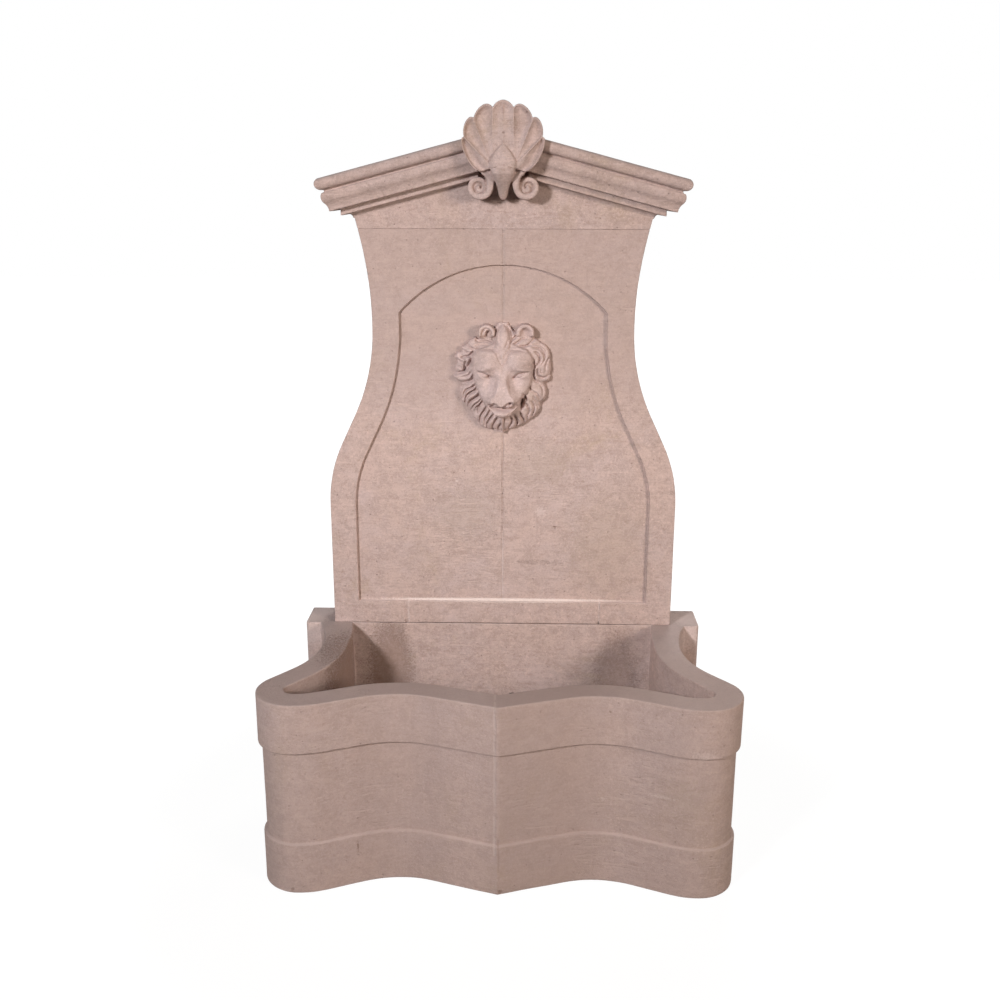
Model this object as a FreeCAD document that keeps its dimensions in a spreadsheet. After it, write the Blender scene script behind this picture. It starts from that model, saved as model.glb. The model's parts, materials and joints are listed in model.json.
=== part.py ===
"""Garden wall fountain in cast stone, with its fixings, plumbing, pump and drain.

The stone pieces stand against a wall: a basin with a serpentine front, a back panel with an
arched sunk field, a gabled pediment with a scallop crest, and a lion mask that spouts water.
Lengths are in millimetres. "Out" is a distance from the wall towards the viewer, "up" is a
height over the ground and x is measured from the centre line. The finished part has its
origin on the ground in the middle of its footprint, with the wall on the +Y side.
"""
import FreeCAD, Part
import math
import os
import re
import Sketcher

Vector = FreeCAD.Vector
Rotation = FreeCAD.Rotation

# Every size that can be set by itself
SIZES = {
    # Basin: heights and walls
    "rim_height": 370,
    "rim_band": 94,
    "plinth_height": 98,
    "band_step": 7,
    "plinth_step": 6,
    "basin_wall": 50,
    "basin_floor": 60,
    # Basin: plan of the rim, as corners that arcs then round
    "basin_depth": 465,
    "ear_half": 400,
    "ear_out": 86,
    "ear_arris": 8,
    "neck_root": 370,
    "neck_half": 347,
    "neck_back_out": 140,
    "neck_front_out": 262,
    "neck_back_bend": 300,
    "neck_front_bend": 200,
    "basin_half": 430,
    "lobe_back_out": 373,
    "lobe_back_bend": 65,
    "lobe_bend": 70,
    "lobe_front_x": 332,
    "lobe_front_bend": 140,
    "dip_out": 414,
    "dip_outer_x": 210,
    "dip_outer_bend": 188,
    "dip_inner_x": 147,
    "dip_inner_bend": 150,
    "cusp_out": 463,
    "hollow_back_half": 304,
    # Back panel, seen from the front
    "panel_thickness": 83,
    "panel_top": 1151,
    "panel_foot_half": 341,
    "panel_shoulder_up": 685,
    "panel_shoulder_bend": 287,
    "panel_waist_half": 248,
    "panel_waist_low": 879,
    "panel_waist_low_bend": 380,
    "panel_waist_high": 1060,
    "panel_waist_high_bend": 700,
    "panel_head_half": 270,
    "border": 51,
    "field_foot": 417,
    "field_spring": 997,
    "field_crown": 1086,
    "field_sink": 14,
    "score_width": 3,
    "score_sink": 1.6,
    "rail_score_x": 196,
    # Pediment: frieze and raking cornice
    "frieze_flare": 0.235,
    "frieze_half": 277,
    "gable_up": 1326,
    "gable_fall": 0.26,
    "nose_out": 60,
    "nose_roll": 11,
    "quirk_sink": 4,
    "quirk_depth": 5,
    "cyma_out": 49,
    "cyma_foot_out": 38,
    "cyma_height": 35,
    "fillet_out": 20,
    "fillet_height": 12,
    "cove_out": 8,
    "cove_height": 10,
    # Scallop crest
    "crest_top": 1372,
    "fan_root_up": 1262,
    "fan_lobes": 7,
    "fan_step_angle": 22.2,
    "fan_shrink": 0.027,
    "fan_end_x": 45,
    "fan_end_drop": 12,
    "fan_notch": 0.91,
    "fan_thickness": 24,
    "fan_gap": 0.3,
    "flute_depth": 11,
    "stem_half": 26,
    "stem_tip_up": 1202,
    "stem_bend": 14,
    "stem_tip_bend": 3,
    "stem_out": 88,
    "crest_back_half": 45,
    "notch_foot": 20,
    "scroll_x": 44,
    "scroll_up": 1225,
    "neck_setback": 14,
    "scroll_bend": 21,
    "scroll_out": 62,
    "scroll_eye": 7,
    "scroll_groove": 4,
    # Lion mask
    "mask_up": 873,
    "mask_half": 92,
    "mask_half_height": 105,
    "mane_depth": 30,
    "mane_locks": 18,
    "mane_wave": 0.05,
    "face_out": 62,
    "mouth_drop": 47,
    "mouth_half": 19,
    "mouth_height": 9,
    "lip_bend": 8,
    # Fixings
    "overcut": 5,
    "arris": 1,
    "dowel_x": 150,
    "dowel_bend": 8,
    "dowel_reach": 55,
    "dowel_out": 32,
    "fit_gap": 0.3,
    "pin_bend": 4,
    "pin_reach": 38,
    "pin_up": 1240,
    "stud_bend": 4,
    "stud_x": 52,
    "stud_reach": 30,
    "stud_hold": 20,
    "insert_x": 180,
    "insert_up": 1190,
    "insert_wall": 3,
    "insert_bore": 4.2,
    "insert_length": 40,
    # Water pipe
    "chase_half": 38,
    "chase_depth": 58,
    "chase_head": 60,
    "pipe_bend": 6,
    "pipe_wall": 0.8,
    "riser_out": 26,
    "elbow_bend": 12,
    "elbow_wall": 2,
    "socket_length": 10,
    "inlet_up": 172,
    "spout_recess": 14,
    "nut_height": 6,
    "nut_bend": 14,
    "washer_height": 1.5,
    "gland_bend": 11,
    "gland_flange_bend": 20,
    "gland_flange": 5,
    "gland_thread": 3,
    "seal_height": 2,
    "clip_low_up": 500,
    "clip_high_up": 700,
    "clip_width": 12,
    "clip_foot": 3,
    "clip_foot_half": 24,
    "clip_screw_x": 17,
    "clip_screw_bend": 2,
    "clip_screw_length": 10,
    "clip_wall": 2.5,
    "screw_head_bend": 4,
    "screw_head_height": 2.4,
    # Cable bung in the rear wall
    "cable_x": 22,
    "cable_up": 205,
    "bung_bend": 9,
    "bung_lip": 3,
    "bung_lip_bend": 12,
    "cable_bore": 4,
    # Pump
    "pump_out": 165,
    "pump_half": 42,
    "pump_half_depth": 50,
    "pump_height": 62,
    "pump_corner": 10,
    "foot_height": 6,
    "foot_bend": 9,
    "foot_inset": 13,
    "foot_stem_bend": 3,
    "foot_stem_height": 6,
    "rotor_up": 34,
    "rotor_bend": 13.5,
    "rotor_length": 48,
    "rotor_gap": 0.8,
    "wheel_bend": 19,
    "wheel_depth": 3,
    "blade_depth": 9,
    "blade_count": 6,
    "blade_thickness": 2,
    "chamber_bend": 22,
    "chamber_depth": 16,
    "shaft_bend": 1.5,
    "shaft_gap": 0.05,
    "bush_bend": 5,
    "bush_length": 6,
    "bush_inset": 1.5,
    "cover_depth": 6,
    "cover_inset": 3,
    "cover_corner": 6,
    "intake_bend": 9,
    "spider_width": 3,
    "seal_bend": 1.2,
    "seal_ring": 25.5,
    "cover_screw_x": 32,
    "cover_screw_low": 10,
    "cover_screw_high": 52,
    "cover_screw_bend": 1.8,
    "cover_screw_length": 14,
    "strainer_depth": 20,
    "strainer_wall": 2,
    "strainer_slot": 3,
    "strainer_slots": 7,
    "strainer_gap": 0.3,
    "strainer_corner": 8,
    "slot_margin": 12,
    "stub_bend": 10,
    "stub_bore": 6,
    "stub_height": 10,
    "stub_inset": 11,
    "duct_rise": 5,
    "adapter_flange": 4,
    "dial_x": 26,
    "dial_out": 150,
    "dial_bend": 9,
    "dial_height": 6,
    "dial_stem_bend": 3,
    "dial_stem_height": 7,
    "dial_gap": 0.1,
    "gland_x": 26,
    "cable_gland_up": 38,
    "cable_gland_bend": 7,
    "cable_gland_length": 12,
    # Drain
    "drain_x": 150,
    "drain_out": 300,
    "drain_bend": 17,
    "drain_bore": 13,
    "drain_flange_bend": 27,
    "drain_flange": 3.5,
    "drain_tail_up": 6,
    "drain_tail_bend": 16,
    "drain_tail": 9,
    "drain_pocket_bend": 36,
    "drain_pocket": 24,
    "drain_nut_bend": 26,
    "drain_nut": 8,
    "drain_seal": 2,
    "stopper_gap": 0.3,
    "stopper_depth": 16,
    "stopper_lip_bend": 17,
    "stopper_lip": 4,
    "stopper_grip_bend": 5,
    "stopper_grip": 10,
}

doc = FreeCAD.newDocument("WallFountain")
sheet = doc.addObject("Spreadsheet::Sheet", "Sizes")
for row, (name, value) in enumerate(SIZES.items(), start=1):
    sheet.set(f"A{row}", name)
    sheet.set(f"B{row}", str(value))
    sheet.setAlias(f"B{row}", name)
doc.recompute()

WALL = "basin_depth / 2"
MOUTH = "mask_up - mouth_drop"
SIDES = (("left", "0 -"), ("right", ""))


def measure(text):
    """Value of a sum such as "rim_height - rim_band + 2 * basin_wall", read from the sheet."""
    total = 0.0
    for sign, term in re.findall(r"([+-]?)\s*([\w.*/ ]*[\w.])", str(text)):
        value = 1.0
        for operator, word in re.findall(r"([*/]?)\s*([\w.]+)", term):
            number = float(word) if word[0].isdigit() else float(sheet.get(word))
            value = value / number if operator == "/" else value * number
        total += -value if sign == "-" else value
    return total


def formula(text):
    """The same sum as an expression that reads the sheet's cells."""
    return re.sub(r"[a-z_]+", lambda word: "Sizes." + word.group(), str(text))


def bind(item, values):
    """Tie properties of a document object to the sheet."""
    for path, text in values.items():
        item.setExpression(path, formula(text))
    return item


def place(item, x=0, out=0, up=0, turn=None):
    """Put an object at x, out and up, seen from the middle of the footprint."""
    if turn is not None:
        item.Placement.Rotation = turn
    return bind(item, {
        "Placement.Base.x": x,
        "Placement.Base.y": f"{WALL} - ({out})",
        "Placement.Base.z": up,
    })


def seat(item, x=0, out=0, up=0, turn=None):
    """Put a tool or a sketch of a stone piece at x, out and up, seen from the wall's foot."""
    if turn is not None:
        item.Placement.Rotation = turn
    return bind(item, {
        "Placement.Base.x": x,
        "Placement.Base.y": f"0 - ({out})",
        "Placement.Base.z": up,
    })


UPWARD = Rotation()
FORWARD = Rotation(Vector(1, 0, 0), 90)
BACKWARD = Rotation(Vector(1, 0, 0), -90)
SIDEWAYS = Rotation(Vector(0, 1, 0), 90)


# Outlines: chains of corners (x, y, bend) that become lines and tangent arcs
def mirrored(right_half):
    """Closed loop from the corners of its right half, which runs clockwise."""
    left_half = [(-x, y, bend) for x, y, bend in reversed(right_half) if x > 1e-6]
    return list(right_half) + left_half


def inset(loop, distance):
    """Clockwise loop moved inwards, apart from an edge that lies on the wall, y = 0."""
    count = len(loop)
    lines = []
    for (x1, y1, _), (x2, y2, _) in zip(loop, loop[1:] + loop[:1]):
        length = math.hypot(x2 - x1, y2 - y1)
        along = ((x2 - x1) / length, (y2 - y1) / length)
        shift = 0 if y1 == 0 and y2 == 0 else distance
        lines.append((x1 + along[1] * shift, y1 - along[0] * shift, along))
    moved = []
    for index in range(count):
        x1, y1, (ux, uy) = lines[index - 1]
        x2, y2, (vx, vy) = lines[index]
        cross = ux * vy - uy * vx
        step = ((x2 - x1) * vy - (y2 - y1) * vx) / cross
        bend = loop[index][2]
        if bend:
            bend = max(bend - distance, 0) if cross < 0 else bend + distance
        moved.append((x1 + step * ux, y1 + step * uy, bend))
    return moved


def rounded(loop):
    """Lines and tangent arcs round a closed loop of corners."""
    points = [Vector(x, y, 0) for x, y, _ in loop]
    count = len(points)
    reach, halves = [], []
    for index, (_, _, bend) in enumerate(loop):
        back = points[index - 1] - points[index]
        ahead = points[(index + 1) % count] - points[index]
        half = back.getAngle(ahead) / 2
        halves.append(half)
        reach.append(bend / math.tan(half) if bend else 0.0)
    for index in range(count):
        after = (index + 1) % count
        length = (points[after] - points[index]).Length
        wanted = reach[index] + reach[after]
        if wanted > length * 0.999:
            reach[index] *= length * 0.999 / wanted
            reach[after] *= length * 0.999 / wanted
    starts, ends, middles = [], [], []
    for index, point in enumerate(points):
        back = (points[index - 1] - point).normalize()
        ahead = (points[(index + 1) % count] - point).normalize()
        starts.append(point + back * reach[index])
        ends.append(point + ahead * reach[index])
        bend = reach[index] * math.tan(halves[index])
        bisector = (back + ahead).normalize() if reach[index] else Vector()
        middles.append(point + bisector * (bend / math.sin(halves[index]) - bend))
    edges = []
    for index in range(count):
        if reach[index] > 1e-6:
            edges.append(Part.Arc(starts[index], middles[index], ends[index]))
        after = (index + 1) % count
        if (starts[after] - ends[index]).Length > 1e-6:
            edges.append(Part.LineSegment(ends[index], starts[after]))
    return edges


def outline(name, *loops, standing=False, out=0, up=0):
    """Sketch of closed loops, flat on the ground plane or standing against the wall."""
    sketch = doc.addObject("Sketcher::SketchObject", name)
    for edges in loops:
        for number in sketch.addGeometry(edges):
            sketch.addConstraint(Sketcher.Constraint("Block", number))
    return seat(sketch, out=out, up=up, turn=FORWARD if standing else UPWARD)


def raised(name, sketch, height):
    """Solid that a sketch sweeps along its normal."""
    solid = doc.addObject("Part::Extrusion", name)
    solid.Base = sketch
    solid.DirMode = "Normal"
    solid.Solid = True
    return bind(solid, {"LengthFwd": height})


def box(name, x, out, up, width, depth, height):
    """Box from its low corner: x to the right, out towards the wall, up."""
    solid = doc.addObject("Part::Box", name)
    bind(solid, {"Length": width, "Width": depth, "Height": height})
    return seat(solid, x, out, up)


def bar(name, bend, length, x=0, out=0, up=0, turn=UPWARD):
    """Round bar from its low end."""
    solid = doc.addObject("Part::Cylinder", name)
    bind(solid, {"Radius": bend, "Height": length})
    return seat(solid, x, out, up, turn)


def egg(name, half_width, half_depth, half_height, x, out, up):
    """Ellipsoid with its three half sizes."""
    solid = doc.addObject("Part::Ellipsoid", name)
    solid.Angle1, solid.Angle2, solid.Angle3 = -90, 90, 360
    bind(solid, {"Radius1": half_height, "Radius2": half_width, "Radius3": half_depth})
    return seat(solid, x, out, up)


def joined(name, *items):
    """Union of solids."""
    solid = doc.addObject("Part::MultiFuse", name)
    solid.Shapes = list(items)
    solid.Refine = True
    return solid


def cut(name, base, *tools):
    """Base with one or more tools taken away."""
    solid = doc.addObject("Part::Cut", name)
    solid.Base = base
    solid.Tool = tools[0] if len(tools) == 1 else joined(name + "_tools", *tools)
    return solid


def turned(name, profile):
    """Body of revolution about its own Z axis from (radius, height) pairs of sums."""
    body = doc.addObject("PartDesign::Body", name)
    sketch = body.newObject("Sketcher::SketchObject", name + "_profile")
    plane = [item for item in body.Origin.OriginFeatures if item.Role == "XZ_Plane"][0]
    sketch.AttachmentSupport = (plane, "")
    sketch.MapMode = "FlatFace"
    points = [Vector(measure(radius), measure(height), 0) for radius, height in profile]
    count = len(points)
    sketch.addGeometry([Part.LineSegment(points[i], points[(i + 1) % count]) for i in range(count)])
    for index in range(count):
        sketch.addConstraint(Sketcher.Constraint("Coincident", index, 2, (index + 1) % count, 1))
    for index, (radius, height) in enumerate(profile):
        for kind, axis, text, value in (
            ("DistanceX", -2, radius, points[index].x),
            ("DistanceY", -1, height, points[index].y),
        ):
            if str(text) == "0":
                sketch.addConstraint(Sketcher.Constraint("PointOnObject", index, 1, axis))
            else:
                number = sketch.addConstraint(Sketcher.Constraint(kind, -1, 1, index, 1, value))
                sketch.setExpression(f"Constraints[{number}]", formula(text))
    turn = body.newObject("PartDesign::Revolution", name + "_turn")
    turn.Profile = sketch
    turn.ReferenceAxis = (sketch, ["V_Axis"])
    turn.Angle = 360
    return body


def group(name, items):
    """Identical pieces that share one node."""
    bundle = doc.addObject("Part::Compound", name)
    bundle.Links = items
    return bundle


nodes = []


def finish(item, name):
    """Name a finished sub-part and keep it for export."""
    item.Label = name
    nodes.append(item)
    return item


# Basin
def rim_corners():
    """Corners of the rim in plan, right half, clockwise from the wall."""
    names = (
        ("ear_half", "0", None),
        ("ear_half", "ear_out", "ear_arris"),
        ("neck_root", "ear_out", None),
        ("neck_half", "neck_back_out", "neck_back_bend"),
        ("neck_half", "neck_front_out", "neck_front_bend"),
        ("basin_half", "lobe_back_out", "lobe_back_bend"),
        ("basin_half", "basin_depth", "lobe_bend"),
        ("lobe_front_x", "basin_depth", "lobe_front_bend"),
        ("dip_outer_x", "dip_out", "dip_outer_bend"),
        ("dip_inner_x", "dip_out", "dip_inner_bend"),
    )
    right = [(measure(x), -measure(out), measure(bend) if bend else 0) for x, out, bend in names]
    return right + [(0.0, -measure("cusp_out"), 0)]


def hollow_corners():
    """Corners of the hollow: the rim moved in by the wall, closed by a flat rear wall."""
    full = inset(mirrored(rim_corners()), measure("basin_wall"))
    right = full[3:len(rim_corners())]
    back = (measure("hollow_back_half"), -measure("panel_thickness"), 0)
    return mirrored([back] + right)


def basin():
    rim = mirrored(rim_corners())
    step = measure("band_step")
    foot = measure("band_step - plinth_step")
    body = raised(
        "body", outline("body_plan", rounded(inset(rim, step))), "rim_height - rim_band / 2")
    plinth = raised("plinth", outline("plinth_plan", rounded(inset(rim, foot))), "plinth_height")
    band = raised("band", outline("band_plan", rounded(rim), up="rim_height - rim_band"), "rim_band")
    stone = joined("basin_stone", body, plinth, band)
    hollow = raised(
        "hollow", outline("hollow_plan", rounded(hollow_corners()), up="basin_floor"), "rim_height")
    chase = box(
        "basin_chase", "0 - chase_half", "chase_depth", "0 - chase_head",
        "2 * chase_half", "chase_depth + arris", "rim_height + 2 * chase_head")
    inlet = bar(
        "inlet_bore", "gland_bend + fit_gap", "panel_thickness + overcut", out="0", up="inlet_up",
        turn=FORWARD)
    cable = bar(
        "cable_bore_cut", "bung_bend + fit_gap", "panel_thickness + overcut", x="cable_x", out="0",
        up="cable_up", turn=FORWARD)
    drain = bar(
        "drain_bore_cut", "drain_bend + fit_gap", "basin_floor + 2 * overcut",
        "drain_x", "drain_out", "0 - overcut")
    pocket = bar(
        "drain_pocket_cut", "drain_pocket_bend", "drain_pocket + overcut",
        "drain_x", "drain_out", "0 - overcut")
    dowels = [
        bar(f"basin_dowel_hole_{side}", "dowel_bend + fit_gap", "dowel_reach + 2 * overcut",
            f"{sign} dowel_x", "dowel_out", "rim_height - dowel_reach - fit_gap")
        for side, sign in SIDES
    ]
    stone = cut("basin", stone, hollow, chase, inlet, cable, drain, pocket, *dowels)
    return finish(place(stone), "basin")


# Back panel
def panel_corners():
    """Corners of the panel from the front, right half, clockwise from its head."""
    names = (
        ("panel_head_half", "panel_top", None),
        ("panel_waist_half", "panel_waist_high", "panel_waist_high_bend"),
        ("panel_waist_half", "panel_waist_low", "panel_waist_low_bend"),
        ("panel_foot_half", "panel_shoulder_up", "panel_shoulder_bend"),
        ("panel_foot_half", "rim_height", None),
    )
    return [(measure(x), measure(up), measure(bend) if bend else 0) for x, up, bend in names]


def field_edges():
    """Outline of the sunk field: the panel's sides moved in, a flat foot and an arched head."""
    sides = inset(mirrored(panel_corners()), measure("border"))
    spring, crown = measure("field_spring"), measure("field_crown")
    corner = (sides[1][0], spring, 0)
    foot = (sides[3][0], measure("field_foot"), 0)
    edges = rounded(mirrored([corner, sides[2], sides[3], foot]))
    right, left = Vector(corner[0], spring, 0), Vector(-corner[0], spring, 0)
    flat_head = Part.Arc(left, Vector(0, crown, 0), right)
    return [edge for edge in edges if not is_head(edge, spring)] + [flat_head]


def is_head(edge, up):
    """Whether an edge is the straight one between the two springing points."""
    straight = isinstance(edge, Part.LineSegment)
    return straight and abs(edge.StartPoint.y - up) < 1e-6 and abs(edge.EndPoint.y - up) < 1e-6


def back_panel():
    slab = raised(
        "panel_slab", outline("panel_front", rounded(mirrored(panel_corners())), standing=True),
        "panel_thickness")
    field = raised(
        "field", outline("field_front", field_edges(), standing=True, out="panel_thickness - field_sink"),
        "field_sink + overcut")
    chase = box(
        "panel_chase", "0 - chase_half", "chase_depth", "rim_height - overcut",
        "2 * chase_half", "chase_depth + arris", MOUTH + " + chase_head - rim_height + overcut")
    seam_low = box(
        "seam_field", "0 - score_width / 2", "panel_thickness - field_sink + arris", "field_foot",
        "score_width", "score_sink + arris", "field_crown - field_foot")
    seam_high = box(
        "seam_head", "0 - score_width / 2", "panel_thickness + arris", "field_crown",
        "score_width", "score_sink + arris", "panel_top - field_crown + overcut")
    rails = [
        box(f"rail_score_{side}", f"{sign} rail_score_x - score_width / 2", "panel_thickness + arris",
            "rim_height - overcut", "score_width", "score_sink + arris",
            "field_foot - rim_height + overcut")
        for side, sign in SIDES
    ]
    spout = bar(
        "panel_spout_bore", "pipe_bend + fit_gap", "panel_thickness", out="0", up=MOUTH,
        turn=FORWARD)
    holes = []
    for side, sign in SIDES:
        holes.append(bar(
            f"panel_low_hole_{side}", "dowel_bend + fit_gap", "dowel_reach + fit_gap + 2 * overcut",
            f"{sign} dowel_x", "dowel_out", "rim_height - 2 * overcut"))
        holes.append(bar(
            f"panel_high_hole_{side}", "dowel_bend + fit_gap", "dowel_reach + fit_gap + 2 * overcut",
            f"{sign} dowel_x", "dowel_out", "panel_top - dowel_reach - fit_gap"))
    studs = [
        bar(f"panel_stud_hole_{side}", "stud_bend + fit_gap", "stud_reach + fit_gap + overcut",
            f"{sign} stud_x", "panel_thickness - field_sink - stud_reach - fit_gap", "mask_up",
            turn=FORWARD)
        for side, sign in SIDES
    ]
    for level in ("low", "high"):
        for side, sign in SIDES:
            holes.append(bar(
                f"panel_clip_hole_{level}_{side}", "clip_screw_bend + shaft_gap",
                "clip_screw_length - clip_foot + fit_gap + overcut",
                f"{sign} clip_screw_x", "chase_depth - overcut",
                f"clip_{level}_up", turn=FORWARD))
    stone = cut("back_panel", slab, field, chase, seam_low, seam_high, spout, *rails, *holes, *studs)
    return finish(place(stone), "back_panel")


# Pediment
def cornice_profile():
    """Moulding as (out from the frieze, down from the raking top) points, with arc middles."""
    size = {name: measure(name) for name in SIZES}
    roll = size["nose_roll"]
    nose = size["nose_out"]
    quirk_up = 2 * roll
    cyma_up = quirk_up + size["quirk_depth"]
    cyma_foot = cyma_up + size["cyma_height"]
    cyma, foot = size["cyma_out"], size["cyma_foot_out"]
    middle_up = (cyma_up + cyma_foot) / 2
    middle = (cyma + foot) / 2 + 3
    fillet_foot = cyma_foot + size["fillet_height"]
    cove_foot = fillet_foot + size["cove_height"]
    bulge = (cyma + middle) / 2 + 2.5
    hollow = (middle + foot) / 2 - 2
    return [
        ((nose - roll, 0), (nose, roll), (nose - roll, quirk_up)),
        ((nose - roll, quirk_up), (cyma - size["quirk_sink"], quirk_up)),
        ((cyma - size["quirk_sink"], quirk_up), (cyma - size["quirk_sink"], cyma_up)),
        ((cyma - size["quirk_sink"], cyma_up), (cyma, cyma_up)),
        ((cyma, cyma_up), (bulge, (cyma_up + middle_up) / 2), (middle, middle_up)),
        ((middle, middle_up), (hollow, (middle_up + cyma_foot) / 2), (foot, cyma_foot)),
        ((foot, cyma_foot), (size["fillet_out"], cyma_foot)),
        ((size["fillet_out"], cyma_foot), (size["fillet_out"], fillet_foot)),
        ((size["fillet_out"], fillet_foot), (size["cove_out"], fillet_foot)),
        ((size["cove_out"], fillet_foot),
         (size["cove_out"] * 0.35, fillet_foot + size["cove_height"] * 0.35), (0, cove_foot)),
    ]


def moulding(points_at):
    """Closed face whose edge follows the profile, through a function that places a point."""
    edges = []
    profile = cornice_profile()
    for piece in profile:
        spots = [points_at(*spot) for spot in piece]
        curve = Part.Arc(*spots) if len(spots) == 3 else Part.LineSegment(*spots)
        edges.append(curve.toShape())
    top, foot = points_at(*profile[0][0]), points_at(*profile[-1][-1])
    return top, foot, edges


def cornice_half(side):
    """Raking cornice right of the centre (side 1) or left of it (side -1), returned at its end."""
    thickness, half = measure("panel_thickness"), measure("frieze_half")
    crown, fall = measure("gable_up"), measure("gable_fall")
    reach = half + 2 * measure("nose_out")

    along = Vector(side, 0, -fall).normalize()
    across = Vector(-side * fall, 0, -1).normalize()
    start = Vector(0, 0, crown) - along * reach / 2

    def front(out, down):
        return start + Vector(0, -(thickness + out), 0) + across * (down * along.x * side)

    def end(out, down):
        return Vector(side * (half + out), 0, crown - fall * (half + out) - down)

    top, foot, edges = moulding(front)
    back_top, back_foot = Vector(top.x, 0, top.z), Vector(foot.x, 0, foot.z)
    edges += [
        Part.LineSegment(foot, back_foot).toShape(),
        Part.LineSegment(back_foot, back_top).toShape(),
        Part.LineSegment(back_top, top).toShape(),
    ]
    run = Part.Face(Part.Wire(Part.__sortEdges__(edges)))
    run = run.extrude(along * reach * 2)
    top, foot, edges = moulding(end)
    middle_top = Vector(0, 0, top.z + fall * abs(top.x) + 1)
    middle_foot = Vector(0, 0, foot.z)
    edges += [
        Part.LineSegment(foot, middle_foot).toShape(),
        Part.LineSegment(middle_foot, middle_top).toShape(),
        Part.LineSegment(middle_top, top).toShape(),
    ]
    returned = Part.Face(Part.Wire(Part.__sortEdges__(edges)))
    returned = returned.extrude(Vector(0, -(thickness + 2 * measure("nose_out")), 0))
    return run.common(returned)


def pediment():
    thickness, half = measure("panel_thickness"), measure("panel_head_half")
    low, crown, fall = measure("panel_top"), measure("gable_up"), measure("gable_fall")
    cornice = cornice_half(1).fuse(cornice_half(-1)).removeSplitter()
    raking = doc.addObject("Part::Feature", "raking_cornice")
    raking.Shape = cornice
    depth = 2 * measure("nose_roll") + sum(
        measure(name) for name in ("quirk_depth", "cyma_height", "fillet_height", "cove_height"))
    flare = measure("frieze_flare")
    rise = (crown - depth / 2 - fall * half - low) / (1 + fall * flare)
    frieze_corners = [
        (0, crown - depth / 2, 0),
        (half + flare * rise, low + rise, 0),
        (half, low, 0),
    ]
    frieze = raised(
        "frieze", outline("frieze_front", rounded(mirrored(frieze_corners)), standing=True),
        "panel_thickness")
    stone = joined("pediment_stone", raking, frieze)
    notch = box(
        "crest_notch", "0 - crest_back_half - fan_gap", "panel_thickness + 2 * nose_out",
        "panel_top + notch_foot",
        "2 * crest_back_half + 2 * fan_gap", "2 * nose_out", "crest_top - panel_top")
    tools = [notch]
    for side, sign in SIDES:
        tools.append(bar(
            f"pediment_dowel_hole_{side}", "dowel_bend + fit_gap", "dowel_reach + fit_gap + 2 * overcut",
            f"{sign} dowel_x", "dowel_out", "panel_top - 2 * overcut"))
        tools.append(bar(
            f"insert_pocket_{side}", "insert_bore + insert_wall", "insert_length + overcut",
            f"{sign} insert_x", "0 - overcut", "insert_up", turn=FORWARD))
    tools.append(bar(
        "pediment_pin_hole", "pin_bend + fit_gap", "pin_reach + fit_gap + overcut", 0,
        "panel_thickness - pin_reach - fit_gap", "pin_up", turn=FORWARD))
    return finish(place(cut("pediment", stone, *tools)), "pediment")


# Scallop crest
def fan_radius(step):
    """Distance from the fan's root to its edge, as lobes shorten towards the sides."""
    reach = measure("crest_top - fan_root_up")
    return reach * (1 - measure("fan_shrink") * step * step)


def fan_point(step, share=1.0):
    """Point on the fan's edge, counted in lobes from the centre."""
    angle = math.radians(90 - step * measure("fan_step_angle"))
    radius = fan_radius(step) * share
    return Vector(radius * math.cos(angle), measure("fan_root_up") + radius * math.sin(angle), 0)


def fan_end(sign):
    """Low outer corner of the fan's last lobe."""
    return Vector(sign * measure("fan_end_x"), measure("fan_root_up - fan_end_drop"), 0)


def end_lobe():
    """Where the last lobe starts, and its middle, counted in lobes from the centre."""
    start = measure("fan_lobes") / 2 - 1
    corner = fan_end(1)
    turn = math.degrees(math.atan2(corner.x, corner.y - measure("fan_root_up")))
    return start, (start + turn / measure("fan_step_angle")) / 2


def fan_edges():
    """Scalloped outline of the fan, closed through its root."""
    start, middle = end_lobe()
    notch = measure("fan_notch")
    edges = [Part.Arc(fan_end(-1), fan_point(-middle), fan_point(-start, notch))]
    for index in range(int(measure("fan_lobes")) - 2):
        low = index - start
        edges.append(Part.Arc(
            fan_point(low, notch), fan_point(low + 0.5), fan_point(low + 1, notch)))
    edges.append(Part.Arc(fan_point(start, notch), fan_point(middle), fan_end(1)))
    root = Vector(0, measure("fan_root_up - stem_half"), 0)
    edges.append(Part.LineSegment(fan_end(1), root))
    edges.append(Part.LineSegment(root, fan_end(-1)))
    return edges


FLUTE_RUN = 1.15
FLUTE_START = 0.16
FLUTE_SHARE = 0.9


def flutes():
    """Cones that hollow out each lobe of the fan, and leave a narrow rib between two."""
    start, middle = end_lobe()
    front = measure("panel_thickness + nose_out + fan_gap + fan_thickness")
    depth = measure("flute_depth")
    root = Vector(0, -front, measure("fan_root_up"))
    inner = [(index + 0.5 - start, 0.5) for index in range(int(measure("fan_lobes")) - 2)]
    cones = []
    for step, half_span in [(-middle, middle - start), *inner, (middle, middle - start)]:
        edge = fan_point(step)
        spread = math.radians(half_span * measure("fan_step_angle"))
        width = FLUTE_SHARE * fan_radius(step) * math.sin(spread)
        lift = max((width * width - depth * depth) / (2 * depth), 0)
        along = Vector(edge.x, -(front + lift), edge.y) - root
        big = math.hypot(width, lift)
        cones.append(Part.makeCone(
            big * FLUTE_START, big * FLUTE_RUN, along.Length * (FLUTE_RUN - FLUTE_START),
            root + along * FLUTE_START, along))
    return cones


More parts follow.
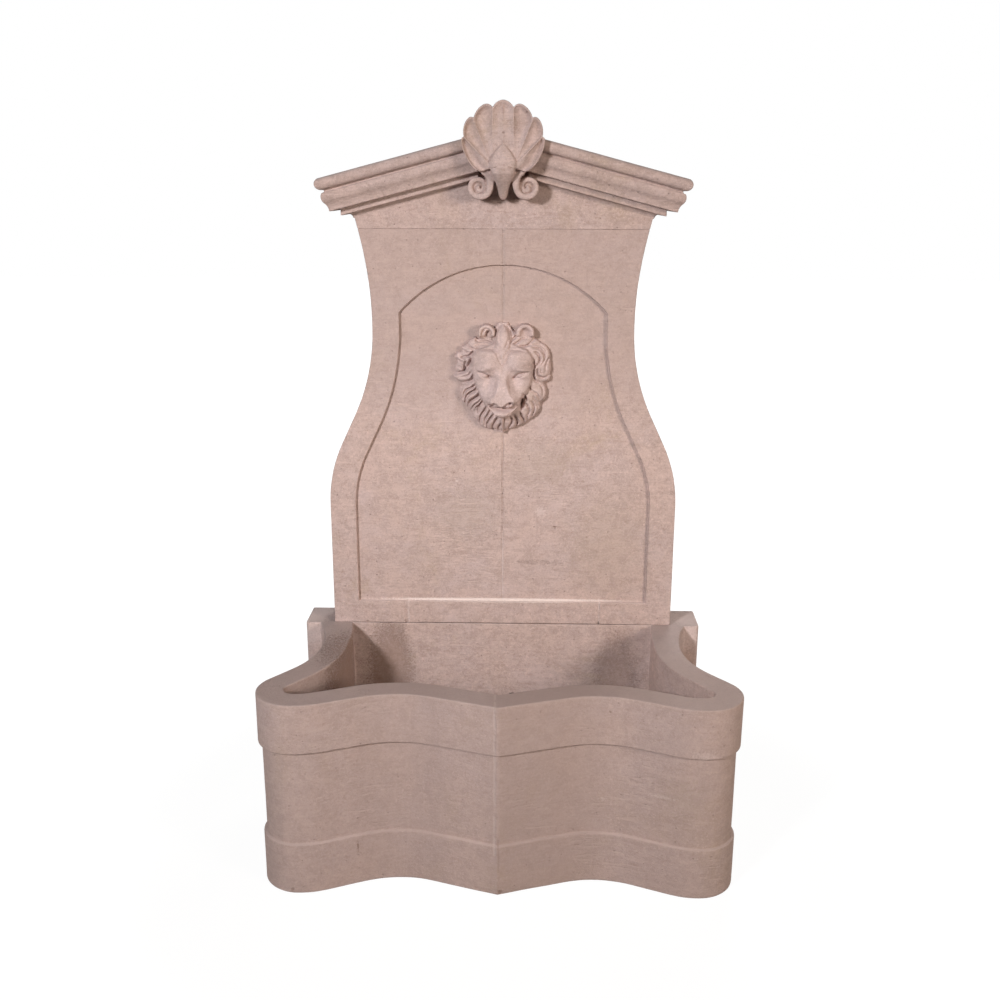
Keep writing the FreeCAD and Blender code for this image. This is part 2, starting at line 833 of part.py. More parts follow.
def shell_crest():
    fan_back = "panel_thickness + nose_out + fan_gap"
    fan = raised("fan", outline("fan_front", fan_edges(), standing=True, out=fan_back), "fan_thickness")
    grooves = doc.addObject("Part::Feature", "fan_flutes")
    grooves.Shape = Part.makeCompound(flutes())
    fluted = cut("fluted_fan", fan, grooves)
    core = raised(
        "crest_core", outline("core_front", fan_edges(), standing=True, out="panel_thickness"),
        "nose_out + 2 * fan_gap")
    core_window = box(
        "core_window", "0 - crest_back_half", "panel_thickness + nose_out + 2 * overcut", "stem_tip_up",
        "2 * crest_back_half", "nose_out + 2 * overcut", "crest_top - stem_tip_up")
    back = doc.addObject("Part::Common", "crest_back")
    back.Base, back.Tool = core, core_window
    stem_corners = [
        (0, measure("fan_root_up + stem_half"), 0),
        (measure("stem_half"), measure("fan_root_up"), measure("stem_bend")),
        (0, measure("stem_tip_up"), measure("stem_tip_bend")),
    ]
    stem_front = outline(
        "stem_front", rounded(mirrored(stem_corners)), standing=True, out="panel_thickness")
    stem = raised("stem", stem_front, "stem_out")
    scrolls = []
    for side, sign in SIDES:
        disc = bar(
            f"scroll_disc_{side}", "scroll_bend", "scroll_out - fillet_out - fan_gap",
            f"{sign} scroll_x", "panel_thickness + fillet_out + fan_gap", "scroll_up", turn=FORWARD)
        ring = cut(
            f"scroll_ring_{side}",
            bar(f"scroll_groove_{side}", "scroll_bend - scroll_groove",
                "scroll_groove + overcut", f"{sign} scroll_x",
                "panel_thickness + scroll_out - scroll_groove", "scroll_up", turn=FORWARD),
            bar(f"scroll_eye_{side}", "scroll_eye", "scroll_groove + overcut", f"{sign} scroll_x",
                "panel_thickness + scroll_out - scroll_groove", "scroll_up", turn=FORWARD))
        scrolls.append(cut(f"scroll_{side}", disc, ring))
    neck = box(
        "crest_neck", "0 - crest_back_half", "panel_thickness + scroll_out - neck_setback",
        "scroll_up", "2 * crest_back_half", "scroll_out - neck_setback", "fan_root_up - scroll_up")
    stone = joined("crest_stone", fluted, back, stem, neck, *scrolls)
    hole = bar("crest_pin_hole", "pin_bend + fit_gap", "pin_reach + fit_gap + arris",
               0, "panel_thickness - arris", "pin_up", turn=FORWARD)
    return finish(place(cut("shell_crest", stone, hole)), "shell_crest")


# Lion mask
def mane_edges(share):
    """Wavy outline of the mane, one swell for each lock."""
    locks = int(measure("mane_locks"))
    half, tall, wave = measure("mask_half"), measure("mask_half_height"), measure("mane_wave")

    def spot(turn, swell):
        angle = 2 * math.pi * turn / locks
        reach = share * (1 + swell)
        return Vector(half * reach * math.sin(angle), measure("mask_up") + tall * reach * math.cos(angle), 0)

    return [
        Part.Arc(spot(index - 0.5, -wave), spot(index, 0), spot(index + 0.5, -wave))
        for index in range(locks)
    ]


# Rounded forms of the face, as shares of the mask's half width, of how far the face stands out
# and of the half height: first the three half sizes, then the place x, out and up
FACE_FORMS = (
    ("skull", (0.56, 0.62, 0.62), (0, 0.32, 0.1)),
    ("muzzle", (0.34, 0.5, 0.27), (0, 0.6, -0.3)),
    ("nose", (0.16, 0.32, 0.44), (0, 0.8, 0.02)),
    ("forelock", (0.3, 0.5, 0.36), (0, 0.4, 0.6)),
    ("left_ear", (0.2, 0.3, 0.17), (-0.38, 0.35, 0.84)),
    ("right_ear", (0.2, 0.3, 0.17), (0.38, 0.35, 0.84)),
    ("left_brow", (0.2, 0.28, 0.13), (-0.3, 0.68, 0.32)),
    ("right_brow", (0.2, 0.28, 0.13), (0.3, 0.68, 0.32)),
)
# Layers of the mane: share of its outline, share of its depth
MANE_LAYERS = ((1.0, 0), (0.95, 0.5), (0.74, 1))


def lion_mask():
    field = "panel_thickness - field_sink"
    mane = doc.addObject("Part::Loft", "mane")
    mane.Sections = [
        outline(f"mane_layer_{number}", mane_edges(share), standing=True,
                out=f"{field} + {depth} * mane_depth")
        for number, (share, depth) in enumerate(MANE_LAYERS, start=1)
    ]
    mane.Solid = True
    mane.Ruled = True
    face = [
        egg(name, f"mask_half * {wide}", f"face_out * {deep}", f"mask_half_height * {tall}",
            f"0 - {-x} * mask_half" if x < 0 else f"{x} * mask_half", f"{field} + face_out * {out}",
            f"mask_up - mask_half_height * {-up}" if up < 0 else f"mask_up + mask_half_height * {up}")
        for name, (wide, deep, tall), (x, out, up) in FACE_FORMS
    ]
    whole = joined("mask_whole", mane, *face)
    keep = box(
        "mask_keep", "0 - 2 * mask_half", field + " + 2 * face_out", "mask_up - 2 * mask_half_height",
        "4 * mask_half", "2 * face_out", "4 * mask_half_height")
    front = doc.addObject("Part::Common", "mask_front")
    front.Base, front.Tool = whole, keep
    mouth = bar("mask_spout_bore", "pipe_bend + fit_gap", "2 * face_out", 0, field + " - overcut", MOUTH,
                turn=FORWARD)
    half, bend = measure("mouth_half"), measure("lip_bend")
    low, high = measure(MOUTH + " - mouth_height"), measure(MOUTH + " + mouth_height")
    lips = outline(
        "lips", rounded([(-half, low, bend), (-half, high, bend), (half, high, bend), (half, low, bend)]),
        standing=True, out=field + " + mane_depth")
    opening = raised("mouth_opening", lips, "2 * face_out")
    holes = [
        bar(f"mask_stud_hole_{side}", "stud_bend + fit_gap", "stud_hold + fit_gap + overcut",
            f"{sign} stud_x", field + " - overcut", "mask_up", turn=FORWARD)
        for side, sign in SIDES
    ]
    return finish(place(cut("lion_mask", front, mouth, opening, *holes)), "lion_mask")


# Fixings between the stones
def pair(label, profile, spots):
    """Equal turned pieces at several spots (x, out, up, turn), in one node."""
    pieces = []
    for index, spot in enumerate(spots, start=1):
        pieces.append(place(turned(f"{label}_{index}", profile), *spot))
    return finish(group(label, pieces), label)


def dowels():
    rod = [
        ("0", "0"), ("dowel_bend - arris", "0"), ("dowel_bend", "arris"),
        ("dowel_bend", "2 * dowel_reach - arris"),
        ("dowel_bend - arris", "2 * dowel_reach"), ("0", "2 * dowel_reach"),
    ]
    pair("panel_dowels", rod, [
        (f"{sign} dowel_x", "dowel_out", "rim_height - dowel_reach", UPWARD) for _, sign in SIDES])
    pair("pediment_dowels", rod, [
        (f"{sign} dowel_x", "dowel_out", "panel_top - dowel_reach", UPWARD) for _, sign in SIDES])
    pair("crest_pin", [
        ("0", "0"), ("pin_bend", "0"), ("pin_bend", "2 * pin_reach - arris"),
        ("pin_bend - arris", "2 * pin_reach"), ("0", "2 * pin_reach"),
    ], [("0", "panel_thickness - pin_reach", "pin_up", FORWARD)])
    pair("mask_studs", [
        ("0", "0"), ("stud_bend", "0"), ("stud_bend", "stud_reach + stud_hold - arris"),
        ("stud_bend - arris", "stud_reach + stud_hold"), ("0", "stud_reach + stud_hold"),
    ], [(f"{sign} stud_x", "panel_thickness - field_sink - stud_reach", "mask_up", FORWARD)
        for _, sign in SIDES])
    pair("wall_inserts", [
        ("insert_bore", "0"), ("insert_bore + insert_wall", "0"),
        ("insert_bore + insert_wall", "insert_length"), ("0", "insert_length"),
        ("0", "insert_length - insert_wall"), ("insert_bore", "insert_length - insert_wall"),
    ], [(f"{sign} insert_x", "0", "insert_up", FORWARD) for _, sign in SIDES])


# Water pipe
def bent_rod(bend, leg):
    """Quarter bend from straight up to straight out about the origin's corner, with two legs."""
    radius, size, reach = measure("elbow_bend"), measure(bend), measure(leg)
    ring = Part.makeTorus(radius, size, Vector(), Vector(0, 0, 1), 0, 360, 90)
    turn = Rotation(Vector(0, 1, 0), Vector(0, 0, -1), Vector(-1, 0, 0), "XYZ")
    ring.Placement = FreeCAD.Placement(Vector(0, -radius, radius), turn)
    up = Part.makeCylinder(size, reach, Vector(0, 0, radius))
    out = Part.makeCylinder(size, reach, Vector(0, -radius, 0), Vector(0, -1, 0))
    return ring, up, out


def elbow_form():
    """Elbow with a stopped socket on each leg."""
    ring, up, out = bent_rod("pipe_bend + elbow_wall", "socket_length")
    solid = ring.fuse([up, out])
    for tool in bent_rod("pipe_bend - pipe_wall", "socket_length + arris"):
        solid = solid.cut(tool)
    radius, socket = measure("elbow_bend"), measure("socket_length")
    wide = measure("pipe_bend + shaft_gap")
    solid = solid.cut(Part.makeCylinder(wide, socket + 1, Vector(0, 0, radius)))
    return solid.cut(Part.makeCylinder(wide, socket + 1, Vector(0, -radius, 0), Vector(0, -1, 0)))


def elbow(label, out, up, axis, angle):
    """Elbow turned from its first position, up and out, about one axis."""
    piece = doc.addObject("Part::Feature", label)
    solid = elbow_form()
    solid.rotate(Vector(), axis, angle)
    piece.Shape = solid
    return finish(place(piece, 0, out, up), label)


def tube_profile(length):
    return [
        ("pipe_bend - pipe_wall", "0"), ("pipe_bend", "0"), ("pipe_bend", length),
        ("pipe_bend - pipe_wall", length),
    ]


def pipes():
    elbow("lower_elbow", "riser_out", "inlet_up", Vector(0, 1, 0), 0)
    elbow("upper_elbow", "riser_out", MOUTH, Vector(0, 1, 0), 180)
    pair("riser_pipe", tube_profile(MOUTH + " - inlet_up - 2 * elbow_bend"),
         [("0", "riser_out", "inlet_up + elbow_bend", UPWARD)])
    pair("spout_tube", tube_profile(
        "panel_thickness - field_sink + face_out - spout_recess - riser_out - elbow_bend"),
        [("0", "riser_out + elbow_bend", MOUTH, FORWARD)])
    ring = "pipe_bend + shaft_gap"
    pair("spout_washer", [
        (ring, "0"), ("nut_bend", "0"), ("nut_bend", "washer_height"), (ring, "washer_height"),
    ], [("0", "chase_depth", MOUTH, BACKWARD)])
    nut("spout_nut", "nut_bend", "nut_height", ring, "0", "chase_depth - washer_height", MOUTH)
    pair("inlet_pipe", tube_profile(STUB + " - 2 * elbow_bend - riser_out"),
         [("0", "riser_out + elbow_bend", "inlet_up", FORWARD)])
    shank = "panel_thickness - chase_depth + seal_height + nut_height + gland_thread"
    pair("inlet_gland", [
        (ring, "0"), ("gland_bend", "0"), ("gland_bend", shank), ("gland_flange_bend", shank),
        ("gland_flange_bend", shank + " + gland_flange"), (ring, shank + " + gland_flange"),
    ], [("0", "chase_depth - nut_height - gland_thread", "inlet_up", FORWARD)])
    sleeve = "gland_bend + shaft_gap"
    pair("gland_seal", [
        (sleeve, "0"), ("gland_flange_bend", "0"), ("gland_flange_bend", "seal_height"),
        (sleeve, "seal_height"),
    ], [("0", "panel_thickness", "inlet_up", FORWARD)])
    nut("gland_nut", "gland_flange_bend - 2 * arris", "nut_height", sleeve, "0", "chase_depth",
        "inlet_up")
    clips()


def nut(label, bend, height, bore, x, out, up, turn=BACKWARD):
    """Hexagon nut from its seat, along the turn's direction."""
    block = doc.addObject("Part::Prism", label + "_hexagon")
    block.Polygon = 6
    bind(block, {"Circumradius": bend, "Height": height})
    hole = bar(label + "_hole", bore, f"{height} + 2 * arris", 0, 0, "0 - arris")
    return finish(place(cut(label, block, hole), x, out, up, turn), label)


def clips():
    """Saddle rings that stand off the bottom of the chase and hold the riser."""
    rings, screws = [], []
    head = [
        ("0", "0"), ("clip_screw_bend", "0"), ("clip_screw_bend", "clip_screw_length"),
        ("screw_head_bend", "clip_screw_length"),
        ("screw_head_bend", "clip_screw_length + screw_head_height"),
        ("0", "clip_screw_length + screw_head_height"),
    ]
    for level in ("low", "high"):
        up = f"clip_{level}_up"
        foot = box(f"clip_foot_{level}", "0 - clip_foot_half", "chase_depth", f"{up} - clip_width / 2",
                   "2 * clip_foot_half", "clip_foot", "clip_width")
        post = box(f"clip_post_{level}", "0 - clip_wall", "chase_depth", f"{up} - clip_width / 2",
                   "2 * clip_wall", "chase_depth - riser_out", "clip_width")
        ring = bar(f"clip_ring_{level}", "pipe_bend + clip_wall", "clip_width", 0, "riser_out",
                   f"{up} - clip_width / 2")
        bore = bar(f"clip_bore_{level}", "pipe_bend + shaft_gap", "clip_width + 2 * arris", 0,
                   "riser_out", f"{up} - clip_width / 2 - arris")
        holes = [
            bar(f"clip_hole_{level}_{side}", "clip_screw_bend + shaft_gap", "clip_foot + 4 * arris",
                f"{sign} clip_screw_x", "chase_depth + 2 * arris", up, turn=BACKWARD)
            for side, sign in SIDES
        ]
        rings.append(cut(f"clip_{level}", joined(f"clip_form_{level}", foot, post, ring), bore, *holes))
        for side, sign in SIDES:
            screws.append(place(
                turned(f"clip_screw_{level}_{side}", head), f"{sign} clip_screw_x",
                "chase_depth - clip_foot + clip_screw_length", up, BACKWARD))
    for ring in rings:
        place(ring)
    finish(group("pipe_clips", rings), "pipe_clips")
    finish(group("clip_screws", screws), "clip_screws")


def cable_bung():
    pair("cable_bung", [
        ("cable_bore", "0"), ("bung_bend", "0"), ("bung_bend", "panel_thickness - chase_depth"),
        ("bung_lip_bend", "panel_thickness - chase_depth"),
        ("bung_lip_bend - arris", "panel_thickness - chase_depth + bung_lip"),
        ("cable_bore", "panel_thickness - chase_depth + bung_lip"),
    ], [("cable_x", "chase_depth", "cable_up", FORWARD)])


# Pump
BASE = "basin_floor + foot_height"
FRONT = "pump_out + pump_half_depth"
STUB = "pump_out + pump_half_depth - stub_inset"


def pump_housing():
    half, deep, corner = measure("pump_half"), measure("pump_half_depth"), measure("pump_corner")
    centre = -measure("pump_out")
    corners = [
        (half, centre + deep, corner), (half, centre - deep, corner),
        (-half, centre - deep, corner), (-half, centre + deep, corner),
    ]
    block = raised("pump_block", outline("pump_plan", rounded(corners), up=BASE), "pump_height")
    chamber = bar("pump_chamber", "chamber_bend", "chamber_depth + overcut", 0, FRONT + " - chamber_depth",
                  BASE + " + rotor_up", FORWARD)
    well = bar("rotor_well", "rotor_bend + rotor_gap", "rotor_length + rotor_gap + overcut", 0,
               FRONT + " - chamber_depth - rotor_length - rotor_gap", BASE + " + rotor_up", FORWARD)
    rear_seat = bar("rear_bush_seat", "bush_bend + shaft_gap", "bush_length + overcut", 0,
                    FRONT + " - chamber_depth - rotor_length - rotor_gap - bush_length",
                    BASE + " + rotor_up", FORWARD)
    stub = bar("outlet_stub", "stub_bend", "stub_height + overcut", 0, STUB,
               BASE + " + pump_height - overcut")
    duct = bar("outlet_duct", "stub_bore", "pump_height + stub_height", 0, STUB,
               BASE + " + rotor_up + duct_rise")
    recess = bar("cover_recess", "seal_ring + seal_bend", "seal_bend", 0, FRONT + " - seal_bend",
                 BASE + " + rotor_up", FORWARD)
    dial_seat = bar("dial_seat", "dial_stem_bend + dial_gap", "dial_stem_height + dial_gap + overcut",
                    "dial_x", "dial_out", BASE + " + pump_height - dial_stem_height - dial_gap")
    feet = [
        bar(f"foot_seat_{number}", "foot_stem_bend + shaft_gap", "foot_stem_height + overcut", x, out,
            BASE + " - overcut")
        for number, (x, out) in enumerate(foot_spots(), start=1)
    ]
    screws = [
        bar(f"cover_screw_seat_{number}", "cover_screw_bend + shaft_gap", "cover_screw_length + overcut", x,
            FRONT + " - cover_screw_length", up, FORWARD)
        for number, (x, up) in enumerate(cover_screw_spots(), start=1)
    ]
    gland = bar("gland_seat", "cable_gland_bend - 2 * arris + shaft_gap", "cable_gland_length / 2 + overcut",
                "0 - gland_x", "pump_out - pump_half_depth - overcut", BASE + " + cable_gland_up", FORWARD)
    body = joined("pump_form", block, stub)
    body = cut("pump_housing", body, chamber, well, rear_seat, duct, recess, dial_seat, gland, *feet,
               *screws)
    return finish(place(body), "pump_housing")


def foot_spots():
    return [
        (f"{side} pump_half {back} foot_inset", f"pump_out {end} pump_half_depth {home} foot_inset")
        for side, back in (("0 -", "+"), ("", "-"))
        for end, home in (("-", "+"), ("+", "-"))
    ]


def cover_screw_spots():
    return [
        (f"{side} cover_screw_x", f"{BASE} + cover_screw_{level}")
        for side in ("0 -", "") for level in ("low", "high")
    ]


def pump_cover():
    low, high = measure(BASE + " + cover_inset"), measure(BASE + " + pump_height - cover_inset")
    half = measure("pump_half - cover_inset")
    corner = measure("cover_corner")
    corners = [(-half, low, corner), (-half, high, corner), (half, high, corner), (half, low, corner)]
    plate = raised("cover_plate", outline("cover_front", rounded(corners), standing=True, out=FRONT),
                   "cover_depth")
    eye = bar("intake_eye", "intake_bend", "cover_depth + 2 * overcut", 0, FRONT + " - overcut",
              BASE + " + rotor_up", FORWARD)
    spider = box("intake_spider", "0 - intake_bend - arris", FRONT + " + cover_depth",
                 BASE + " + rotor_up - spider_width / 2", "2 * intake_bend + 2 * arris", "cover_depth",
                 "spider_width")
    hub = bar("intake_hub", "bush_bend + bush_inset", "cover_depth", 0, FRONT, BASE + " + rotor_up", FORWARD)
    bush_seat = bar("front_bush_seat", "bush_bend + shaft_gap", "bush_length - bush_inset + overcut", 0,
                    FRONT + " - overcut",
                    BASE + " + rotor_up", FORWARD)
    screws = [
        bar(f"cover_screw_hole_{number}", "cover_screw_bend + shaft_gap", "cover_depth + 2 * overcut", x,
            FRONT + " - overcut", up, FORWARD)
        for number, (x, up) in enumerate(cover_screw_spots(), start=1)
    ]
    holed = cut("cover_holed", plate, eye, *screws)
    cover = cut("pump_cover", joined("cover_form", holed, spider, hub), bush_seat)
    return finish(place(cover), "pump_cover")


def rotor():
    """Magnet rotor with its wheel and blades, bored for the fixed shaft."""
    magnet = bar("rotor_magnet", "rotor_bend", "rotor_length", 0,
                 FRONT + " - chamber_depth - rotor_length", BASE + " + rotor_up", FORWARD)
    wheel = bar("rotor_wheel", "wheel_bend", "wheel_depth", 0, FRONT + " - chamber_depth + rotor_gap",
                BASE + " + rotor_up", FORWARD)
    neck = bar("rotor_neck", "bush_bend", "chamber_depth - 3 * arris", 0, FRONT + " - chamber_depth - arris",
               BASE + " + rotor_up", FORWARD)
    blades = []
    for number in range(int(measure("blade_count"))):
        angle = 360.0 * number / measure("blade_count")
        blade = doc.addObject("Part::Box", f"blade_{number + 1}")
        bind(blade, {"Length": "wheel_bend - arris", "Width": "blade_thickness", "Height": "blade_depth"})
        turn = FORWARD * Rotation(Vector(0, 0, 1), angle)
        blades.append(seat(blade, 0, FRONT + " - chamber_depth + rotor_gap", BASE + " + rotor_up", turn))
    bore = bar("rotor_bore", "shaft_bend + shaft_gap", "rotor_length + chamber_depth + 4 * overcut", 0,
               FRONT + " - chamber_depth - rotor_length - overcut", BASE + " + rotor_up", FORWARD)
    body = cut("impeller", joined("rotor_form", magnet, wheel, neck, *blades), bore)
    return finish(place(body), "impeller")


def pump_inside():
    rear = FRONT + " - chamber_depth - rotor_length - rotor_gap - bush_length"
    pair("rotor_shaft", [
        ("0", "0"), ("shaft_bend", "0"),
        ("shaft_bend", "chamber_depth + rotor_length + rotor_gap + 2 * bush_length - 2 * bush_inset"),
        ("0", "chamber_depth + rotor_length + rotor_gap + 2 * bush_length - 2 * bush_inset"),
    ], [("0", rear + " + arris", BASE + " + rotor_up", FORWARD)])
    bush = [
        ("shaft_bend + shaft_gap", "0"), ("bush_bend", "0"), ("bush_bend", "bush_length - bush_inset"),
        ("shaft_bend + shaft_gap", "bush_length - bush_inset"),
    ]
    pair("shaft_bushes", bush, [
        ("0", rear, BASE + " + rotor_up", FORWARD), ("0", FRONT, BASE + " + rotor_up", FORWARD)])
    pair("cover_seal", [
        ("seal_ring - seal_bend", "0"), ("seal_ring + seal_bend - fit_gap", "0"),
        ("seal_ring + seal_bend - fit_gap", "seal_bend"), ("seal_ring - seal_bend", "seal_bend"),
    ], [("0", FRONT + " - seal_bend", BASE + " + rotor_up", FORWARD)])
    head = [
        ("0", "0"), ("cover_screw_bend", "0"), ("cover_screw_bend", "cover_screw_length + cover_depth"),
        ("screw_head_bend", "cover_screw_length + cover_depth"),
        ("screw_head_bend", "cover_screw_length + cover_depth + screw_head_height"),
        ("0", "cover_screw_length + cover_depth + screw_head_height"),
    ]
    pair("cover_screws", head, [
        (x, FRONT + " - cover_screw_length", up, FORWARD) for x, up in cover_screw_spots()])


def strainer():
    """Slotted cap that pulls forward off the cover."""
    low = measure(BASE + " + cover_inset - strainer_gap - strainer_wall")
    high = measure(BASE + " + pump_height - cover_inset + strainer_gap + strainer_wall")
    half = measure("pump_half - cover_inset + strainer_gap + strainer_wall")
    wall = measure("strainer_wall")
    corner = measure("strainer_corner")
    outer = [(-half, low, corner), (-half, high, corner), (half, high, corner), (half, low, corner)]
    inner = rectangle_inside(outer, wall)
    back = FRONT + " + cover_depth / 2"
    shell_front = outline("strainer_front", rounded(outer), standing=True, out=back)
    shell = raised("strainer_shell", shell_front, "strainer_depth")
    space_front = outline("strainer_inside", rounded(inner), standing=True, out=FRONT)
    space = raised("strainer_space", space_front, "strainer_depth + cover_depth / 2 - strainer_wall")
    slots = []
    count = int(measure("strainer_slots"))
    for number in range(count):
        shift = number - (count - 1) / 2
        offset = f"+ {shift} * 3 * strainer_slot" if shift >= 0 else f"- {-shift} * 3 * strainer_slot"
        slots.append(box(
            f"strainer_slot_{number + 1}", f"0 {offset} - strainer_slot / 2",
            FRONT + " + cover_depth / 2 + strainer_depth + overcut", BASE + " + slot_margin",
            "strainer_slot", "strainer_wall + 2 * overcut", "pump_height - 2 * slot_margin"))
    return finish(place(cut("intake_strainer", shell, space, *slots)), "intake_strainer")


def rectangle_inside(loop, distance):
    """Rectangle of corners moved in on all sides."""
    (left, low, bend), (_, high, _), (right, _, _), _ = loop
    bend -= distance
    return [
        (left + distance, low + distance, bend), (left + distance, high - distance, bend),
        (right - distance, high - distance, bend), (right - distance, low + distance, bend),
    ]


def pump_outside():
    top = BASE + " + pump_height"
    riser = "inlet_up - elbow_bend - basin_floor - foot_height - pump_height - stub_height"
    height = riser + " - socket_length - fit_gap"
    pair("outlet_adapter", [
        ("pipe_bend + shaft_gap", "0"), ("stub_bend", "0"), ("stub_bend", "adapter_flange"),
        ("pipe_bend + elbow_wall", "adapter_flange"), ("pipe_bend + elbow_wall", height),
        ("pipe_bend + shaft_gap", height),
    ], [("0", STUB, top + " + stub_height", UPWARD)])
    pair("flow_dial", [
        ("0", "0"), ("dial_stem_bend", "0"), ("dial_stem_bend", "dial_stem_height + dial_gap"),
        ("dial_bend", "dial_stem_height + dial_gap"),
        ("dial_bend", "dial_stem_height + dial_height - arris"),
        ("dial_bend - arris", "dial_stem_height + dial_height"), ("0", "dial_stem_height + dial_height"),
    ], [("dial_x", "dial_out", top + " - dial_stem_height", UPWARD)])
    pair("suction_feet", [
        ("0", "0"), ("foot_bend", "0"), ("foot_bend - 3 * arris", "foot_height"),
        ("foot_stem_bend", "foot_height"),
        ("foot_stem_bend", "foot_height + foot_stem_height"), ("0", "foot_height + foot_stem_height"),
    ], [(x, out, "basin_floor", UPWARD) for x, out in foot_spots()])
    pair("cable_gland", [
        ("0", "0"), ("cable_gland_bend - 2 * arris", "0"), ("cable_gland_bend", "3 * arris"),
        ("cable_gland_bend", "cable_gland_length"), ("cable_gland_bend - 2 * arris", "cable_gland_length"),
        ("cable_gland_bend - 2 * arris", "1.5 * cable_gland_length"), ("0", "1.5 * cable_gland_length"),
    ], [("0 - gland_x", "pump_out - pump_half_depth - cable_gland_length", BASE + " + cable_gland_up",
         FORWARD)])
    elbow("pump_elbow", STUB, "inlet_up", Vector(1, 0, 0), 180)
    pair("pump_riser", tube_profile(riser), [("0", STUB, top + " + stub_height", UPWARD)])


# Drain
def drain():
    spot = ("drain_x", "drain_out")
    pair("drain_sleeve", [
        ("drain_bore", "drain_tail_up"), ("drain_tail_bend", "drain_tail_up"),
        ("drain_tail_bend", "drain_tail_up + drain_tail"), ("drain_bend", "drain_tail_up + drain_tail"),
        ("drain_bend", "basin_floor + drain_seal"), ("drain_flange_bend", "basin_floor + drain_seal"),
        ("drain_flange_bend", "basin_floor + drain_seal + drain_flange"),
        ("drain_bore", "basin_floor + drain_seal + drain_flange"),
    ], [(*spot, "0", UPWARD)])
    pair("drain_seal_ring", [
        ("drain_bend + shaft_gap", "0"), ("drain_flange_bend", "0"), ("drain_flange_bend", "drain_seal"),
        ("drain_bend + shaft_gap", "drain_seal"),
    ], [(*spot, "basin_floor", UPWARD)])
    nut("drain_nut", "drain_nut_bend", "drain_nut", "drain_bend + shaft_gap", *spot,
        "drain_pocket - drain_nut", UPWARD)
    top = "basin_floor + drain_seal + drain_flange"
    pair("drain_stopper", [
        ("0", "0"), ("drain_bore - stopper_gap - 0.7", "0"), ("drain_bore - stopper_gap", "stopper_depth"),
        ("stopper_lip_bend", "stopper_depth"), ("stopper_lip_bend - arris", "stopper_depth + stopper_lip"),
        ("stopper_grip_bend - 2 * arris", "stopper_depth + stopper_lip"),
        ("stopper_grip_bend", "stopper_depth + stopper_lip + stopper_grip"),
        ("0", "stopper_depth + stopper_lip + stopper_grip"),
    ], [(*spot, top + " - stopper_depth", UPWARD)])


def check_and_export():
    doc.recompute()
    bad = [item.Name for item in doc.Objects if {"Invalid", "Error"} & set(item.State)]
    if bad:
        raise RuntimeError("objects left failed: " + ", ".join(bad))
    os.makedirs("parts", exist_ok=True)
    for item in nodes:
        shape = item.Shape
        if shape.isNull() or not shape.isValid():
            raise RuntimeError("bad shape: " + item.Label)
        shape.exportStep(f"parts/{item.Label}.step")
        print(item.Label, len(shape.Solids), round(shape.Volume), shape.BoundBox)


basin()
back_panel()
pediment()
shell_crest()
lion_mask()
dowels()
pipes()
cable_bung()
pump_housing()
pump_cover()
rotor()
pump_inside()
strainer()
pump_outside()
drain()
check_and_export()
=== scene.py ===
# %% [markdown]
# # A cast stone wall fountain
# The construction comes in model.glb: stones, pipes, pump and drain, each at its real place.
# This lesson gives it its looks. The plain stones get soft, slightly uneven arrises, the crest
# and the mask are carved as relief, and every surface gets a finish that varies the way cast
# stone, copper, brass, rubber and moulded plastic do.

import json
import math

import bmesh
import bpy
import numpy as np
from mathutils import Matrix, Vector, noise


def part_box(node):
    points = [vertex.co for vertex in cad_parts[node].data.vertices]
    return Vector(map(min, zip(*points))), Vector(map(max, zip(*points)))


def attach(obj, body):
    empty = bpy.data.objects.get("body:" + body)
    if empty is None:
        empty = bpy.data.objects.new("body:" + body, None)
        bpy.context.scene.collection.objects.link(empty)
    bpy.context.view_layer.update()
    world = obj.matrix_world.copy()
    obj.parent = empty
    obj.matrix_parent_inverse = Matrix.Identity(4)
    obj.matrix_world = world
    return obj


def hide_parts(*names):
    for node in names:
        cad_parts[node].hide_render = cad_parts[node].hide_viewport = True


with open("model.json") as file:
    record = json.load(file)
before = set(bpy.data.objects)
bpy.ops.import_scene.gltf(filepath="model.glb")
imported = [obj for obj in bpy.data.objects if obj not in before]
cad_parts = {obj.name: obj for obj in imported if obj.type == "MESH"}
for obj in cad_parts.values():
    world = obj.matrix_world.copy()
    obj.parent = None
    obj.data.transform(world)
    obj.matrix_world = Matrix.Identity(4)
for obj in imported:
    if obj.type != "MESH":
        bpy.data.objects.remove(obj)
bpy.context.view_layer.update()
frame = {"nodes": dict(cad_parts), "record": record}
NODES = frame["nodes"]
MM = 0.001
WALL_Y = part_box("basin")[1][1]
print("CAD nodes:", len(NODES), "wall plane at y =", round(WALL_Y, 4))

# %% [markdown]
# The camera comes first, so that each piece can be judged in the picture's own frame. Its
# place and tilt were worked out from the joint lines, the rim and the plinth, which are level
# and square on the real stones.

# %% Camera
CAMERA_PLACE = Vector((0.035, -1.9395, 1.219))
CAMERA_PITCH = math.radians(15.70)
CAMERA_YAW = math.radians(-1.09)
CAMERA_ROLL = math.radians(0.17)
FOCAL_PIXELS = 1100.0
IMAGE_PIXELS = 1000.0
SENSOR_MM = 36.0

scene = bpy.context.scene
camera_data = bpy.data.cameras.new("camera")
camera_data.sensor_width = SENSOR_MM
camera_data.lens = SENSOR_MM * FOCAL_PIXELS / IMAGE_PIXELS
camera = bpy.data.objects.new("camera", camera_data)
camera.matrix_world = (
    Matrix.Translation(CAMERA_PLACE)
    @ Matrix.Rotation(-CAMERA_YAW, 4, "Z")
    @ Matrix.Rotation(math.pi / 2 - CAMERA_PITCH, 4, "X")
    @ Matrix.Rotation(CAMERA_ROLL, 4, "Z")
)
scene.collection.objects.link(camera)
scene.camera = camera
scene.view_settings.view_transform = "Standard"
print("lens", round(camera_data.lens, 2), "mm")

